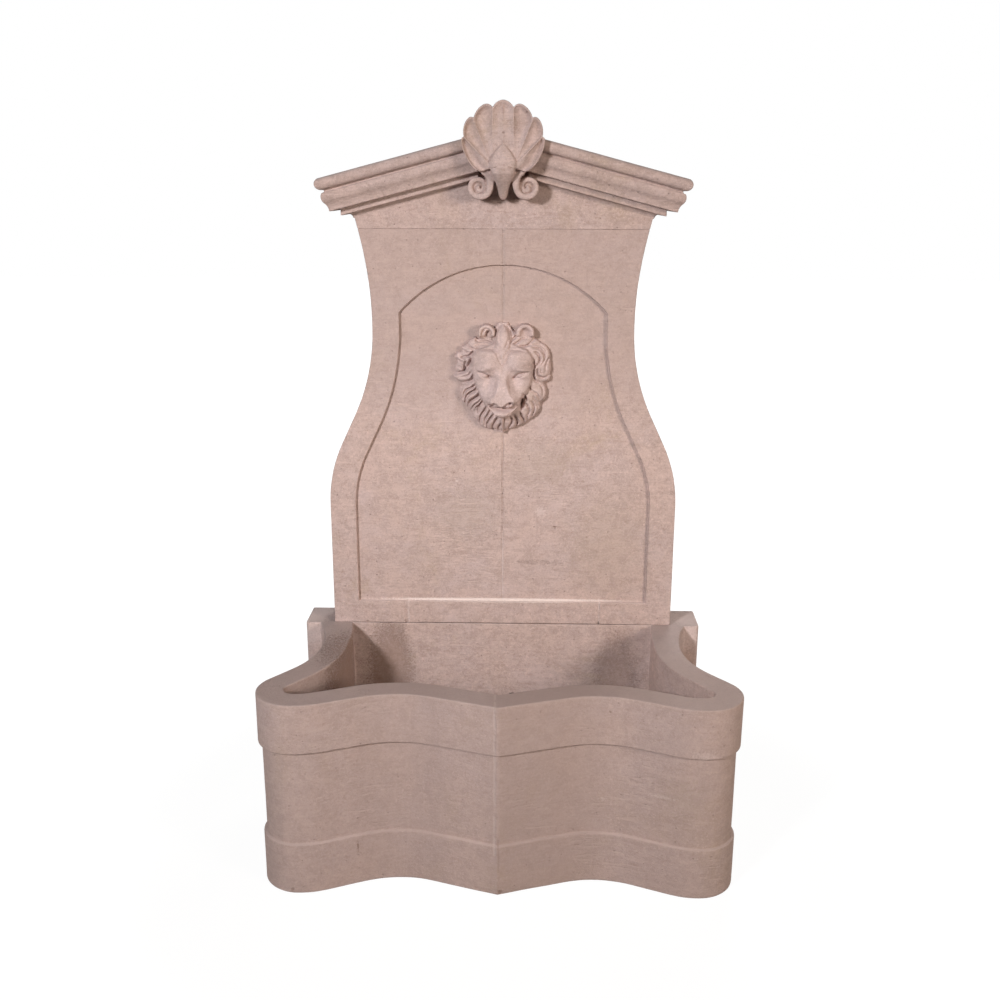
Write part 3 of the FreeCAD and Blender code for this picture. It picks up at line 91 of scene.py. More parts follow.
# %% [markdown]
# Two lamps stand in front of the fountain as in a photographer's studio. The left one is the
# stronger, a small cool source that draws the dark edge inside the basin. The right one is
# wide and warm and throws the mask's soft shadow to the left. Both aim at the middle of the
# panel. A third one lights the back, which the photograph doesn't show.


# %% Lamps
def soft_lamp(name, place, target, side, watts, colour, beam):
    """Square lamp that faces a point, with its light held to a beam angle."""
    data = bpy.data.lights.new(name, "AREA")
    data.shape = "SQUARE"
    data.size = side
    data.energy = watts
    data.color = colour
    data.spread = math.radians(beam)
    lamp = bpy.data.objects.new(name, data)
    aim = (Vector(target) - Vector(place)).to_track_quat("-Z", "Y")
    lamp.matrix_world = Matrix.Translation(place) @ aim.to_matrix().to_4x4()
    scene.collection.objects.link(lamp)


LAMP_TARGET = (0.0, 0.10, 0.72)
soft_lamp("lamp_left", (-1.45, -2.40, 1.75), LAMP_TARGET, side=0.34, watts=13.2,
          colour=(1.0, 0.985, 1.0), beam=75.0)
soft_lamp("lamp_right", (2.15, -2.00, 1.45), LAMP_TARGET, side=0.85, watts=9.6,
          colour=(1.0, 0.875, 0.765), beam=75.0)
soft_lamp("lamp_behind", (0.90, 2.60, 1.30), (0.0, 0.2, 0.7), side=1.0, watts=12.0,
          colour=(1.0, 0.98, 0.96), beam=90.0)

# %% [markdown]
# Shaders and geometry are both made of nodes. One helper makes any node: it sets what the node
# does and gives each input a number, a colour or a link from another node's output. The
# others say what is asked for most often, such as arithmetic and a soft step between two
# numbers.


# %% Helpers for nodes
def node_of(tree, kind, values, **settings):
    """New node with its settings, and numbers, vectors or links on its inputs."""
    node = tree.nodes.new(kind)
    for label, value in settings.items():
        setattr(node, label, value)
    for label, value in values.items():
        for one in value if isinstance(value, list) else [value]:
            if isinstance(one, bpy.types.NodeSocket):
                tree.links.new(one, node.inputs[label])
            else:
                node.inputs[label].default_value = one
    return node


def put(tree, kind, values, **settings):
    """First output of a new node."""
    return node_of(tree, kind, values, **settings).outputs[0]


def math_node(tree, operation, first, second=None, clamp=False):
    """One step of arithmetic on sockets or numbers."""
    values = {0: first} if second is None else {0: first, 1: second}
    return put(tree, "ShaderNodeMath", values, operation=operation, use_clamp=clamp)


def times(tree, *factors):
    """Product of two or more sockets or numbers."""
    result = factors[0]
    for factor in factors[1:]:
        result = math_node(tree, "MULTIPLY", result, factor)
    return result


def vector_maths(tree, operation, values):
    return node_of(tree, "ShaderNodeVectorMath", values, operation=operation).outputs


def ramp_between(tree, value, low, high, start=0.0):
    """A start value below one number, 1 above another, eased between them."""
    return put(tree, "ShaderNodeMapRange", {
        "Value": value, "From Min": low, "From Max": high, "To Min": start},
        interpolation_type="SMOOTHSTEP")


def new_surface(name, clear=False):
    """New material and its tree, without the nodes that it starts with if asked."""
    material = bpy.data.materials.new(name)
    material.use_nodes = True
    if clear:
        material.node_tree.nodes.clear()
    return material, material.node_tree


def place_in(tree):
    """Place on the object, in metres."""
    return tree.nodes.new("ShaderNodeTexCoord").outputs["Object"]


print("node helpers ready")

# %% [markdown]
# The world gives little fill. It is white, and the floor glows, only where the camera looks
# straight at them or sees them in a reflection or through a clear surface, so both look
# white behind the fountain and add little light to it.

# %% World and floor
WORLD_FILL = 0.035
WORLD_TINT = (1.0, 0.82, 0.68, 1.0)
FLOOR_HALF = 14.0
FLOOR_TONE = (0.55, 0.54, 0.53)
FLOOR_GLOW = 1.13
GLOW_NEAR, GLOW_FAR = 0.6, 1.3
GLOW_LEAST = 0.84


def seen_directly(tree):
    """1 where the camera, a reflection or a clear surface looks straight at this."""
    path = tree.nodes.new("ShaderNodeLightPath").outputs
    seen = math_node(tree, "MAXIMUM", path["Is Camera Ray"], path["Is Glossy Ray"])
    return math_node(tree, "MAXIMUM", seen, path["Is Transmission Ray"])


def white_world():
    world = bpy.data.worlds.new("studio")
    world.use_nodes = True
    tree = world.node_tree
    tree.nodes.clear()
    fill = put(tree, "ShaderNodeBackground", {"Color": WORLD_TINT, "Strength": WORLD_FILL})
    white = put(tree, "ShaderNodeBackground", {"Color": (1.0, 1.0, 1.0, 1.0), "Strength": 1.0})
    mix = put(tree, "ShaderNodeMixShader", {0: seen_directly(tree), 1: fill, 2: white})
    node_of(tree, "ShaderNodeOutputWorld", {"Surface": mix})
    scene.world = world


def pale_floor():
    mesh = bpy.data.meshes.new("floor")
    low, high = -FLOOR_HALF, FLOOR_HALF
    mesh.from_pydata([(low, low, 0), (high, low, 0), (high, high, 0), (low, high, 0)],
                     [], [(0, 1, 2, 3)])
    floor = bpy.data.objects.new("floor", mesh)
    scene.collection.objects.link(floor)
    material, tree = new_surface("floor_white", clear=True)
    matt = put(tree, "ShaderNodeBsdfDiffuse", {"Color": (*FLOOR_TONE, 1.0)})
    glow = put(tree, "ShaderNodeEmission", {"Strength": FLOOR_GLOW})
    away = vector_maths(tree, "LENGTH", {0: place_in(tree)})["Value"]
    share = times(tree, seen_directly(tree),
                  ramp_between(tree, away, GLOW_NEAR, GLOW_FAR, GLOW_LEAST))
    mix = put(tree, "ShaderNodeMixShader", {0: share, 1: matt, 2: glow})
    node_of(tree, "ShaderNodeOutputMaterial", {"Surface": mix})
    mesh.materials.append(material)
    return floor


white_world()
floor = pale_floor()
print("floor", floor.name, "world fill", WORLD_FILL)

# %% [markdown]
# Cast stone is sand and cement, so its colour isn't one colour. Clouds the size of a hand,
# blotches the size of a coin and single grains lie over each other, and small air holes open
# in the face. Those effects are built once, as a group of shader nodes, and each stone finish
# uses the group with values of its own.


# %% Helpers for shader groups
def noise_node(tree, where, scale, detail=4.0, rough=0.6, warp=0.0):
    return node_of(tree, "ShaderNodeTexNoise", {
        "Vector": where, "Scale": scale, "Detail": detail, "Roughness": rough,
        "Distortion": warp}).outputs["Fac"]


def scaled(tree, where, factors):
    return put(tree, "ShaderNodeMapping", {"Vector": where, "Scale": factors})


def new_group(name, vectors, numbers, results):
    """Shader group with vector and number inputs and number outputs."""
    tree = bpy.data.node_groups.new(name, "ShaderNodeTree")
    for label in vectors:
        tree.interface.new_socket(label, in_out="INPUT", socket_type="NodeSocketVector")
    for label, value in numbers.items():
        socket = tree.interface.new_socket(label, in_out="INPUT", socket_type="NodeSocketFloat")
        socket.default_value = value
    for label in results:
        tree.interface.new_socket(label, in_out="OUTPUT", socket_type="NodeSocketFloat")
    return tree, tree.nodes.new("NodeGroupInput").outputs


def give(tree, results):
    """End a group: link its results to its outputs."""
    node_of(tree, "NodeGroupOutput", results)
    return tree


print("group helpers ready")


# %% Stone group
def stone_group():
    """Masks and a height for cast stone, all from a place in metres."""
    labels = ("Clouds", "Stains", "Blotches", "Strokes", "Sand", "Coarse", "Pits", "Worn",
              "Height")
    tree, given = new_group("cast_stone_face", ["Place"], {"Grain": 1.0, "Holes": 1.0}, labels)
    place = given["Place"]

    clouds = ramp_between(tree, noise_node(tree, place, 6.5, 5.0, 0.66, 0.7), 0.38, 0.62)
    stains = ramp_between(tree, noise_node(tree, place, 4.2, 7.0, 0.70, 1.1), 0.50, 0.68)
    blotches = ramp_between(tree, noise_node(tree, place, 46.0, 6.0, 0.72, 0.5), 0.40, 0.64)
    strokes = noise_node(tree, scaled(tree, place, (30.0, 30.0, 190.0)), 1.0, 5.0, 0.65, 0.8)
    sand = noise_node(tree, place, 620.0, 3.0, 0.7)
    coarse = noise_node(tree, place, 210.0, 4.0, 0.72)

    streaks = noise_node(tree, scaled(tree, place, (14.0, 14.0, 95.0)), 1.0, 5.0, 0.6, 1.2)
    patch = ramp_between(tree, noise_node(tree, place, 7.0, 3.0, 0.5), 0.50, 0.64)
    worn = times(tree, ramp_between(tree, streaks, 0.5, 0.66), patch)

    cells = node_of(tree, "ShaderNodeTexVoronoi", {"Vector": place, "Scale": 95.0}).outputs
    chosen = put(tree, "ShaderNodeSeparateColor", {"Color": cells["Color"]})
    picked = ramp_between(tree, chosen, 0.84, 0.88)
    hole = ramp_between(tree, cells["Distance"], 0.19, 0.07)
    pits = math_node(tree, "MULTIPLY", times(tree, picked, hole), given["Holes"], clamp=True)

    height = math_node(tree, "ADD", times(tree, sand, 0.42), times(tree, coarse, 0.95))
    height = times(tree, height, given["Grain"])
    for operation, mask, share in (("SUBTRACT", pits, 1.3), ("SUBTRACT", worn, 0.55),
                                   ("ADD", blotches, 0.45), ("ADD", strokes, 0.5)):
        height = math_node(tree, operation, height, times(tree, mask, share))
    results = (clouds, stains, blotches, strokes, sand, coarse, pits, worn, height)
    return give(tree, dict(zip(labels, results)))


STONE_GROUP = stone_group()
print("stone group outputs:", [item.name for item in STONE_GROUP.interface.items_tree][-9:])

# %% [markdown]
# The seam down the panel, the cusp's line, the marks that years outside leave and the painted
# shade and highlights aren't everywhere, so they need places. One group makes an upright line
# at a given x between two heights and in front of a given depth, with an edge that wavers as a
# filled joint does. Another makes a spot round a given point. Both put out a mask, and each
# stone places them as often as it needs.


# %% Line and spot groups
def parts_of(tree, vector):
    return node_of(tree, "ShaderNodeSeparateXYZ", {0: vector}).outputs


def wavering(tree, place, scale, swing):
    """A place pushed about by slow noise."""
    push = node_of(tree, "ShaderNodeTexNoise", {"Vector": place, "Scale": scale, "Detail": 3.0})
    centred = vector_maths(tree, "SUBTRACT", {0: push.outputs["Color"], 1: (0.5, 0.5, 0.5)})[0]
    sized = vector_maths(tree, "SCALE", {0: centred, "Scale": swing})[0]
    return vector_maths(tree, "ADD", {0: place, 1: sized})[0]


def line_group():
    tree, given = new_group("joint_line", ["Place"], {
        "Line X": 0.0, "Half Width": 0.0015, "From Up": 0.0, "To Up": 1.0, "Front Of": 1.0},
        ["Line"])
    parts = parts_of(tree, wavering(tree, given["Place"], 38.0, 0.0045))
    away = math_node(tree, "ABSOLUTE", math_node(tree, "SUBTRACT", parts["X"], given["Line X"]))
    body = ramp_between(tree, math_node(tree, "DIVIDE", away, given["Half Width"]), 1.25, 0.55)
    span = times(tree, math_node(tree, "GREATER_THAN", parts["Z"], given["From Up"]),
                 math_node(tree, "LESS_THAN", parts["Z"], given["To Up"]),
                 math_node(tree, "LESS_THAN", parts["Y"], given["Front Of"]))
    broken = ramp_between(tree, noise_node(tree, given["Place"], 55.0, 4.0, 0.6), 0.34, 0.52)
    return give(tree, {"Line": times(tree, body, span, broken)})


def spot_group():
    tree, given = new_group("weather_mark_and_painted_light", ["Place", "Centre", "Reach"], {"Ragged": 0.5},
                            ["Mark"])
    away = vector_maths(tree, "SUBTRACT", {0: given["Place"], 1: given["Centre"]})[0]
    near = vector_maths(tree, "DIVIDE", {0: away, 1: given["Reach"]})[0]
    length = vector_maths(tree, "LENGTH", {0: near})["Value"]
    speckle = noise_node(tree, given["Place"], 260.0, 4.0, 0.65)
    rough = times(tree, math_node(tree, "SUBTRACT", speckle, 0.5), 3.2, given["Ragged"])
    edge = math_node(tree, "ADD", length, rough)
    return give(tree, {"Mark": ramp_between(tree, edge, 1.0, 0.55)})


LINE_GROUP = line_group()
SPOT_GROUP = spot_group()
print("groups:", LINE_GROUP.name, SPOT_GROUP.name)

# %% [markdown]
# A finish is a Principled BSDF whose colour, roughness and bump come from the groups. Carved
# hollows are painted darker, partly dirt and partly painted shade, and edges rub pale, so carved
# pieces carry an attribute named hollow, 1 deep in a groove and -1 on a sharp edge, and the
# finish reads it. Level faces take a level colour above a given height and a painted highlight
# below it, and on the panel the level colour is that painted highlight too. Every stone has a
# finish of its own, so that its marks stay on it.


# %% Stone finish
def mixed(tree, share, first, second):
    """Colour between two, each a socket or a tuple of three."""
    first, second = ((*item, 1.0) if isinstance(item, tuple) else item
                     for item in (first, second))
    return node_of(tree, "ShaderNodeMix", {0: share, 6: first, 7: second},
                   data_type="RGBA").outputs[2]


def painted(tree, colour, mask, share, paint):
    """Colour with a paint over it, as strong as the mask times a share."""
    return mixed(tree, times(tree, mask, share), colour, paint)


def cover(tree, colour, rough, height, distance, strength):
    """Link colour, roughness and bump to the Principled BSDF, and return it."""
    shader = tree.nodes["Principled BSDF"]
    bump = put(tree, "ShaderNodeBump", {
        "Height": height, "Distance": distance, "Strength": strength})
    for label, value in (("Base Color", colour), ("Roughness", rough), ("Normal", bump)):
        tree.links.new(value, shader.inputs[label])
    return shader


def tone(colour, *shares):
    """A colour with each channel times a share."""
    if len(shares) == 1:
        shares = shares * 3
    return tuple(min(channel * share, 1.0) for channel, share in zip(colour, shares))


# Pale seams and scuffs, and also a painted highlight on level faces and on the basin's ears.
PALE_MARK_AND_HIGHLIGHT = (0.68, 0.56, 0.53)
# Chips and cracks, and also painted shade inside the basin and a painted shadow under the rail.
DARK_MARK_AND_SHADE = (0.19, 0.115, 0.085)
GREY_JOINT = (0.46, 0.385, 0.365)
STAIN_MARK = (0.42, 0.33, 0.265)
LINE_DEPTH = 0.8
DARK_SPOT_DEPTH = 1.4
OTHER_SPOT_DEPTH = 0.3


def stone_finish(name, warm, cool, dust, grain=1.0, holes=1.0, lines=(), spots=(),
                 dust_above=-1.0):
    """lines: (x, half width, low, high, front of, colour, share).
    spots: (centre, reach, ragged, colour, share).
    Level faces take the level colour above a given height and a pale painted highlight below it."""
    material, tree = new_surface(name)
    place = place_in(tree)
    out = node_of(tree, "ShaderNodeGroup", {"Place": place, "Grain": grain, "Holes": holes},
                  node_tree=STONE_GROUP).outputs
    pale = tone(warm, 1.24, 1.26, 1.28)
    dusky = tone(warm, 0.66, 0.61, 0.57)

    colour = mixed(tree, out["Clouds"], warm, cool)
    for mask, share, paint in (
            (out["Stains"], 0.90, tone(warm, 0.82, 0.82, 0.72)),
            (out["Blotches"], 0.75, tone(warm, 0.76)),
            (ramp_between(tree, out["Strokes"], 0.52, 0.68), 0.32, pale),
            (ramp_between(tree, out["Strokes"], 0.46, 0.32), 0.36, dusky),
            (ramp_between(tree, out["Coarse"], 0.52, 0.70), 0.68, pale),
            (ramp_between(tree, out["Coarse"], 0.46, 0.30), 0.66, dusky),
            (ramp_between(tree, out["Sand"], 0.50, 0.72), 0.44, pale),
            (ramp_between(tree, out["Sand"], 0.46, 0.30), 0.44, dusky),
            (out["Worn"], 0.40, pale),
            (out["Pits"], 0.60, tone(warm, 0.45))):
        colour = painted(tree, colour, mask, share, paint)

    # Painted highlight: level faces below a given height turn pale, and above it they take the
    # level colour.
    facing = parts_of(tree, tree.nodes.new("ShaderNodeNewGeometry").outputs["Normal"])["Z"]
    up = parts_of(tree, place)["Z"]
    above_highlight_height = ramp_between(tree, up, dust_above - 0.01, dust_above)
    colour = painted(tree, colour, ramp_between(tree, facing, 0.45, 0.95), 0.66,
                     mixed(tree, above_highlight_height, PALE_MARK_AND_HIGHLIGHT, dust))

    height = out["Height"]
    for x, half_width, low, high, front_of, paint, share in lines:
        mask = put(tree, "ShaderNodeGroup", {
            "Place": place, "Line X": x, "Half Width": half_width, "From Up": low,
            "To Up": high, "Front Of": front_of}, node_tree=LINE_GROUP)
        colour = painted(tree, colour, mask, share, paint)
        height = math_node(tree, "SUBTRACT", height, times(tree, mask, LINE_DEPTH))
    for centre, reach, ragged, paint, share in spots:
        mask = put(tree, "ShaderNodeGroup", {
            "Place": place, "Centre": centre, "Reach": reach, "Ragged": ragged},
            node_tree=SPOT_GROUP)
        colour = painted(tree, colour, mask, share, paint)
        # Spots in the dark colour, chips and painted shade alike, sink deepest in the bump.
        depth = DARK_SPOT_DEPTH if paint == DARK_MARK_AND_SHADE else OTHER_SPOT_DEPTH
        height = math_node(tree, "SUBTRACT", height, times(tree, mask, depth))

    # Painted shade, partly dirt: hollows turn darker. Sharp edges rub pale.
    hollow = node_of(tree, "ShaderNodeAttribute", {}, attribute_name="hollow").outputs["Fac"]
    colour = painted(tree, colour, ramp_between(tree, hollow, 0.10, 0.9), 0.70,
                     tone(warm, 0.48, 0.38, 0.32))
    colour = painted(tree, colour, ramp_between(tree, hollow, -0.15, -0.9), 0.34, pale)
    rough = math_node(tree, "ADD", times(tree, out["Blotches"], -0.10), 0.94)
    shader = cover(tree, colour, rough, height, distance=0.0015, strength=0.60)
    shader.inputs["Specular IOR Level"].default_value = 0.20
    return material


print("stone finish ready, marks as deep as", LINE_DEPTH, DARK_SPOT_DEPTH, OTHER_SPOT_DEPTH)

# %% [markdown]
# The stones share two colours, but for the mask, which has a lighter pair of its own. Panel,
# basin and crest also have marks. A line is a seam or a score. A spot is a stain, a scuff or a
# small chip, or painted light: a broad painted shade, a thin painted shadow or a painted
# highlight. FRONT is read from the imported model, so a mark that uses it stays at the basin's
# front.

# %% Stones and their marks
WARM_STONE = (0.570, 0.430, 0.386)
COOL_STONE = (0.545, 0.426, 0.404)
# Greyer tone that level faces take above their given height.
LEVEL_STONE_TONE = (0.470, 0.395, 0.382)
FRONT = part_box("basin")[0][1]
LEDGE_UP = 0.4195
PANEL_LINES = (
    (0.0, 0.0022, 0.425, 0.56, 0.2, PALE_MARK_AND_HIGHLIGHT, 0.50),
    (0.0, 0.0020, 0.56, 0.80, 0.2, DARK_MARK_AND_SHADE, 0.16),
    (0.0, 0.0034, 0.98, 1.16, 0.2, GREY_JOINT, 0.30),
    (-0.190, 0.0020, 0.36, 0.424, 0.2, PALE_MARK_AND_HIGHLIGHT, 0.60),
    (0.196, 0.0020, 0.36, 0.424, 0.2, PALE_MARK_AND_HIGHLIGHT, 0.60),
)
PANEL_SPOTS = (
    # Painted shade: the upper part of the panel darker.
    ((0.0, 0.15, 1.08), (0.9, 0.3, 0.34), 0.1, tone(WARM_STONE, 0.75), 0.48),
    # Painted highlight along the field's bottom ledge.
    ((0.0, 0.155, LEDGE_UP), (0.30, 0.02, 0.0042), 0.25, (0.78, 0.68, 0.64), 0.85),
    # Painted shadow under the rail, where it meets the basin.
    ((0.0, 0.15, 0.3700), (0.36, 0.03, 0.0022), 0.10, DARK_MARK_AND_SHADE, 0.55),
    ((-0.090, 0.163, 0.668), (0.004, 0.02, 0.003), 0.3, PALE_MARK_AND_HIGHLIGHT, 0.70),
    ((0.075, 0.163, 0.607), (0.014, 0.03, 0.012), 1.2, PALE_MARK_AND_HIGHLIGHT, 0.45),
    ((0.104, 0.163, 0.575), (0.0035, 0.02, 0.0025), 0.6, DARK_MARK_AND_SHADE, 0.55),
    ((0.070, 0.163, 0.500), (0.040, 0.03, 0.005), 1.2, DARK_MARK_AND_SHADE, 0.12),
    ((0.210, 0.163, 0.540), (0.090, 0.06, 0.110), 1.6, STAIN_MARK, 0.30),
    ((-0.070, 0.163, 0.600), (0.070, 0.06, 0.060), 1.6, STAIN_MARK, 0.26),
    ((0.070, 0.163, 0.700), (0.070, 0.06, 0.050), 1.6, STAIN_MARK, 0.26),
)
BASIN_LINES = (
    (-0.006, 0.0024, 0.08, 0.380, -0.10, PALE_MARK_AND_HIGHLIGHT, 0.60),
    (0.001, 0.0018, 0.0, 0.11, -0.10, DARK_MARK_AND_SHADE, 0.40),
)
BASIN_SPOTS = (
    # Painted shade: the basin's front darker than the panel.
    ((0.0, FRONT, 0.18), (1.2, 0.32, 1.0), 0.1, tone(WARM_STONE, 0.70), 0.42),
    # Painted shade inside the basin, deepest on the left.
    ((-0.295, 0.02, 0.28), (0.085, 0.130, 0.150), 0.5, DARK_MARK_AND_SHADE, 0.54),
    ((-0.230, 0.14, 0.24), (0.060, 0.040, 0.170), 0.4, DARK_MARK_AND_SHADE, 0.50),
    ((0.235, 0.14, 0.22), (0.055, 0.040, 0.160), 0.5, DARK_MARK_AND_SHADE, 0.30),
    # Painted highlight on the basin's ears at both back corners.
    ((-0.392, 0.19, 0.35), (0.060, 0.070, 0.060), 0.3, PALE_MARK_AND_HIGHLIGHT, 0.70),
    ((0.392, 0.19, 0.35), (0.060, 0.070, 0.060), 0.3, PALE_MARK_AND_HIGHLIGHT, 0.70),
    ((0.196, FRONT + 0.02, 0.3415), (0.004, 0.05, 0.004), 0.4, DARK_MARK_AND_SHADE, 0.70),
    ((-0.253, FRONT + 0.02, 0.077), (0.0016, 0.05, 0.014), 0.7, DARK_MARK_AND_SHADE, 0.60),
    ((-0.368, FRONT + 0.04, 0.008), (0.006, 0.07, 0.005), 0.5, DARK_MARK_AND_SHADE, 0.45),
    ((0.004, FRONT, 0.007), (0.005, 0.03, 0.005), 0.5, DARK_MARK_AND_SHADE, 0.60),
    ((0.290, FRONT + 0.02, 0.190), (0.026, 0.06, 0.004), 1.2, PALE_MARK_AND_HIGHLIGHT, 0.40),
    ((0.355, FRONT + 0.03, 0.285), (0.028, 0.06, 0.010), 1.2, PALE_MARK_AND_HIGHLIGHT, 0.35),
    ((0.325, FRONT + 0.03, 0.195), (0.040, 0.06, 0.040), 1.6, STAIN_MARK, 0.30),
    ((0.185, FRONT + 0.02, 0.165), (0.013, 0.06, 0.006), 1.0, PALE_MARK_AND_HIGHLIGHT, 0.40),
    # Painted shade on the basin's front bows beside the cusp.
    ((0.09, FRONT + 0.05, 0.20), (0.13, 0.20, 0.60), 0.1, tone(WARM_STONE, 0.62), 0.38),
    ((-0.17, FRONT + 0.03, 0.20), (0.10, 0.20, 0.60), 0.1, tone(WARM_STONE, 0.62), 0.24),
)
CREST_SPOTS = (
    ((0.001, 0.02, 1.316), (0.004, 0.08, 0.003), 0.3, DARK_MARK_AND_SHADE, 0.45),
    ((0.041, 0.02, 1.350), (0.003, 0.08, 0.003), 0.3, DARK_MARK_AND_SHADE, 0.80),
)


def of_stone(name, shade, dust, **marks):
    """Finish in the two common stone colours, both times a shade."""
    return stone_finish(name, tone(WARM_STONE, shade), tone(COOL_STONE, shade), dust, **marks)


STONE = of_stone("cast_stone", 0.93, LEVEL_STONE_TONE, dust_above=1.20)
BASIN_STONE = of_stone("basin_stone", 0.95, LEVEL_STONE_TONE, grain=1.3, lines=BASIN_LINES,
                       spots=BASIN_SPOTS, dust_above=0.30)
# The panel's level colour is pale, a painted highlight on all of its ledges.
PANEL_STONE = of_stone("panel_stone", 0.975, PALE_MARK_AND_HIGHLIGHT, lines=PANEL_LINES, spots=PANEL_SPOTS)
CREST_STONE = of_stone("crest_stone", 0.96, LEVEL_STONE_TONE, grain=0.9, holes=0.4,
                       spots=CREST_SPOTS)
MASK_STONE = stone_finish("mask_stone", (0.590, 0.450, 0.415), (0.560, 0.440, 0.420),
                          (0.560, 0.440, 0.425), grain=0.6, holes=0.2)
print("stone finishes:", STONE.name, PANEL_STONE.name, BASIN_STONE.name, MASK_STONE.name)

# %% [markdown]
# The fittings behind the stone are seen from above, from behind and at the joints' limits.
# Copper goes brown with green in its spots, brass dulls in clouds, steel keeps fine brush
# lines, rubber has a dusty bloom and moulded plastic a fine grain.


# %% Fittings' finishes
def spotted_group():
    """Clouds, spots and a height for metals, rubber and plastics."""
    tree, given = new_group("worn_surface", ["Place"], {"Lines": 0.0},
                            ["Clouds", "Spots", "Height"])
    place = given["Place"]
    fine = noise_node(tree, place, 2600.0, 2.0, 0.5)
    brushed = noise_node(tree, scaled(tree, place, (300.0, 300.0, 6000.0)), 1.0, 2.0, 0.5)
    return give(tree, {
        "Clouds": ramp_between(tree, noise_node(tree, place, 60.0, 5.0, 0.65, 0.5), 0.38, 0.66),
        "Spots": ramp_between(tree, noise_node(tree, place, 260.0, 3.0, 0.6), 0.58, 0.70),
        "Height": math_node(tree, "ADD", fine, times(tree, brushed, given["Lines"]))})


SPOTTED_GROUP = spotted_group()


def fitting_finish(name, main, cloudy, spot, rough, metallic, lines=0.0, bump=0.25):
    material, tree = new_surface(name)
    out = node_of(tree, "ShaderNodeGroup", {"Place": place_in(tree), "Lines": lines},
                  node_tree=SPOTTED_GROUP).outputs
    colour = painted(tree, main, out["Clouds"], 0.75, cloudy)
    colour = painted(tree, colour, out["Spots"], 0.65, spot)
    dull = math_node(tree, "ADD", times(tree, out["Clouds"], 0.18), rough)
    shader = cover(tree, colour, dull, out["Height"], distance=0.0001, strength=bump)
    shader.inputs["Metallic"].default_value = metallic
    return material


# Main colour, clouds' colour, spots' colour, roughness, metallic, brush lines, bump.
FITTINGS = {
    "copper": ((0.62, 0.30, 0.19), (0.34, 0.17, 0.11), (0.22, 0.38, 0.30), 0.32, 1.0),
    "brass": ((0.68, 0.50, 0.22), (0.47, 0.33, 0.15), (0.30, 0.24, 0.12), 0.30, 1.0),
    "stainless_steel": ((0.60, 0.60, 0.61), (0.48, 0.48, 0.49), (0.38, 0.36, 0.34), 0.28, 1.0,
                        0.8),
    "black_rubber": ((0.025, 0.025, 0.025), (0.05, 0.05, 0.048), (0.10, 0.095, 0.09), 0.70,
                     0.0, 0.0, 0.5),
    "black_plastic": ((0.030, 0.031, 0.034), (0.045, 0.046, 0.05), (0.08, 0.078, 0.075), 0.46,
                      0.0, 0.0, 0.6),
    "grey_plastic": ((0.17, 0.18, 0.19), (0.22, 0.23, 0.24), (0.30, 0.29, 0.27), 0.40, 0.0,
                     0.0, 0.5),
}
FINISHES = {"cast_stone": STONE, "mask_stone": MASK_STONE}
for name, look in FITTINGS.items():
    FINISHES[name] = fitting_finish(name, *look)
print("finishes:", len(FINISHES))

# %% [markdown]
# Each CAD node that stays takes the finish of the slot that the record gives it.


# %% Dress the CAD nodes
def dress(item, material):
    """Give an object one material, on every face."""
    mesh = item.data
    mesh.materials.clear()
    mesh.materials.append(material)
    mesh.polygons.foreach_set("material_index", [0] * len(mesh.polygons))


SLOT_OF = {item["node"]: item["material_slot"] for item in frame["record"]["subparts"]}
for node, item in NODES.items():
    dress(item, FINISHES[SLOT_OF[node]])
print("dressed nodes:", len(SLOT_OF))

# %% [markdown]
# The big stones keep the shape of their solids, apart from the panel's sunk field, which
# comes nearer to the face round it. A copy of the mesh is welded, its flat faces are made
# whole again, its arrises are rounded as a mould leaves them, and it is cut into small squares
# so that the faces can wander by a fraction of a millimetre. Real cast faces do that, and a
# perfectly flat one looks like plastic. Weighted normals then let the wide faces decide the
# shading, so that a rounded arris doesn't spread a grey band over its neighbours.


# %% Softened stones
PANEL_FACE = 83.0
FIELD_FACE = 69.0
FIELD_SHARE = 0.55
SCORES = (-0.196, 0.0, 0.196)
SCORE_REACH = 2.6 * MM
WELD = 2e-5
NEAREST = 0.8 * MM
FLAT_WITHIN = math.radians(0.6)
SHARP_FROM = math.radians(30)
SLOW_SCALE, QUICK_SCALE = 9.0, 40.0


def welded_copy(node):
    """Mesh of a CAD node with its loose triangles joined, its flats whole and no slivers."""
    shape = bmesh.new()
    shape.from_mesh(NODES[node].data)
    bmesh.ops.remove_doubles(shape, verts=shape.verts, dist=WELD)
    bmesh.ops.dissolve_limit(shape, angle_limit=FLAT_WITHIN, verts=shape.verts,
                             edges=shape.edges)
    bmesh.ops.remove_doubles(shape, verts=shape.verts, dist=NEAREST)
    bmesh.ops.dissolve_degenerate(shape, dist=1e-6, edges=shape.edges)
    return shape


def near_score(edge, scores):
    """True for an edge that runs along one of the fine scored lines."""
    return any(all(abs(vert.co.x - x) < SCORE_REACH for vert in edge.verts) for x in scores)


def soften(shape, arris, scores):
    """Round the edges between faces that meet at a clear angle."""
    sharp = []
    for edge in shape.edges:
        if len(edge.link_faces) != 2 or edge.calc_face_angle(0.0) < SHARP_FROM:
            continue
        if not near_score(edge, scores):
            sharp.append(edge)
    bmesh.ops.bevel(shape, geom=sharp, offset=arris, offset_type="OFFSET", segments=3,
                    profile=0.55, affect="EDGES", clamp_overlap=False)
    return len(sharp)


def sliced(shape, step, low, high):
    """Cut the mesh by planes a step apart along each axis."""
    for axis in range(3):
        normal = [0.0, 0.0, 0.0]
        normal[axis] = 1.0
        level = low[axis] + step / 2
        while level < high[axis]:
            point = [0.0, 0.0, 0.0]
            point[axis] = level
            bmesh.ops.bisect_plane(
                shape, geom=shape.verts[:] + shape.edges[:] + shape.faces[:], dist=1e-6,
                plane_co=point, plane_no=normal)
            level += step


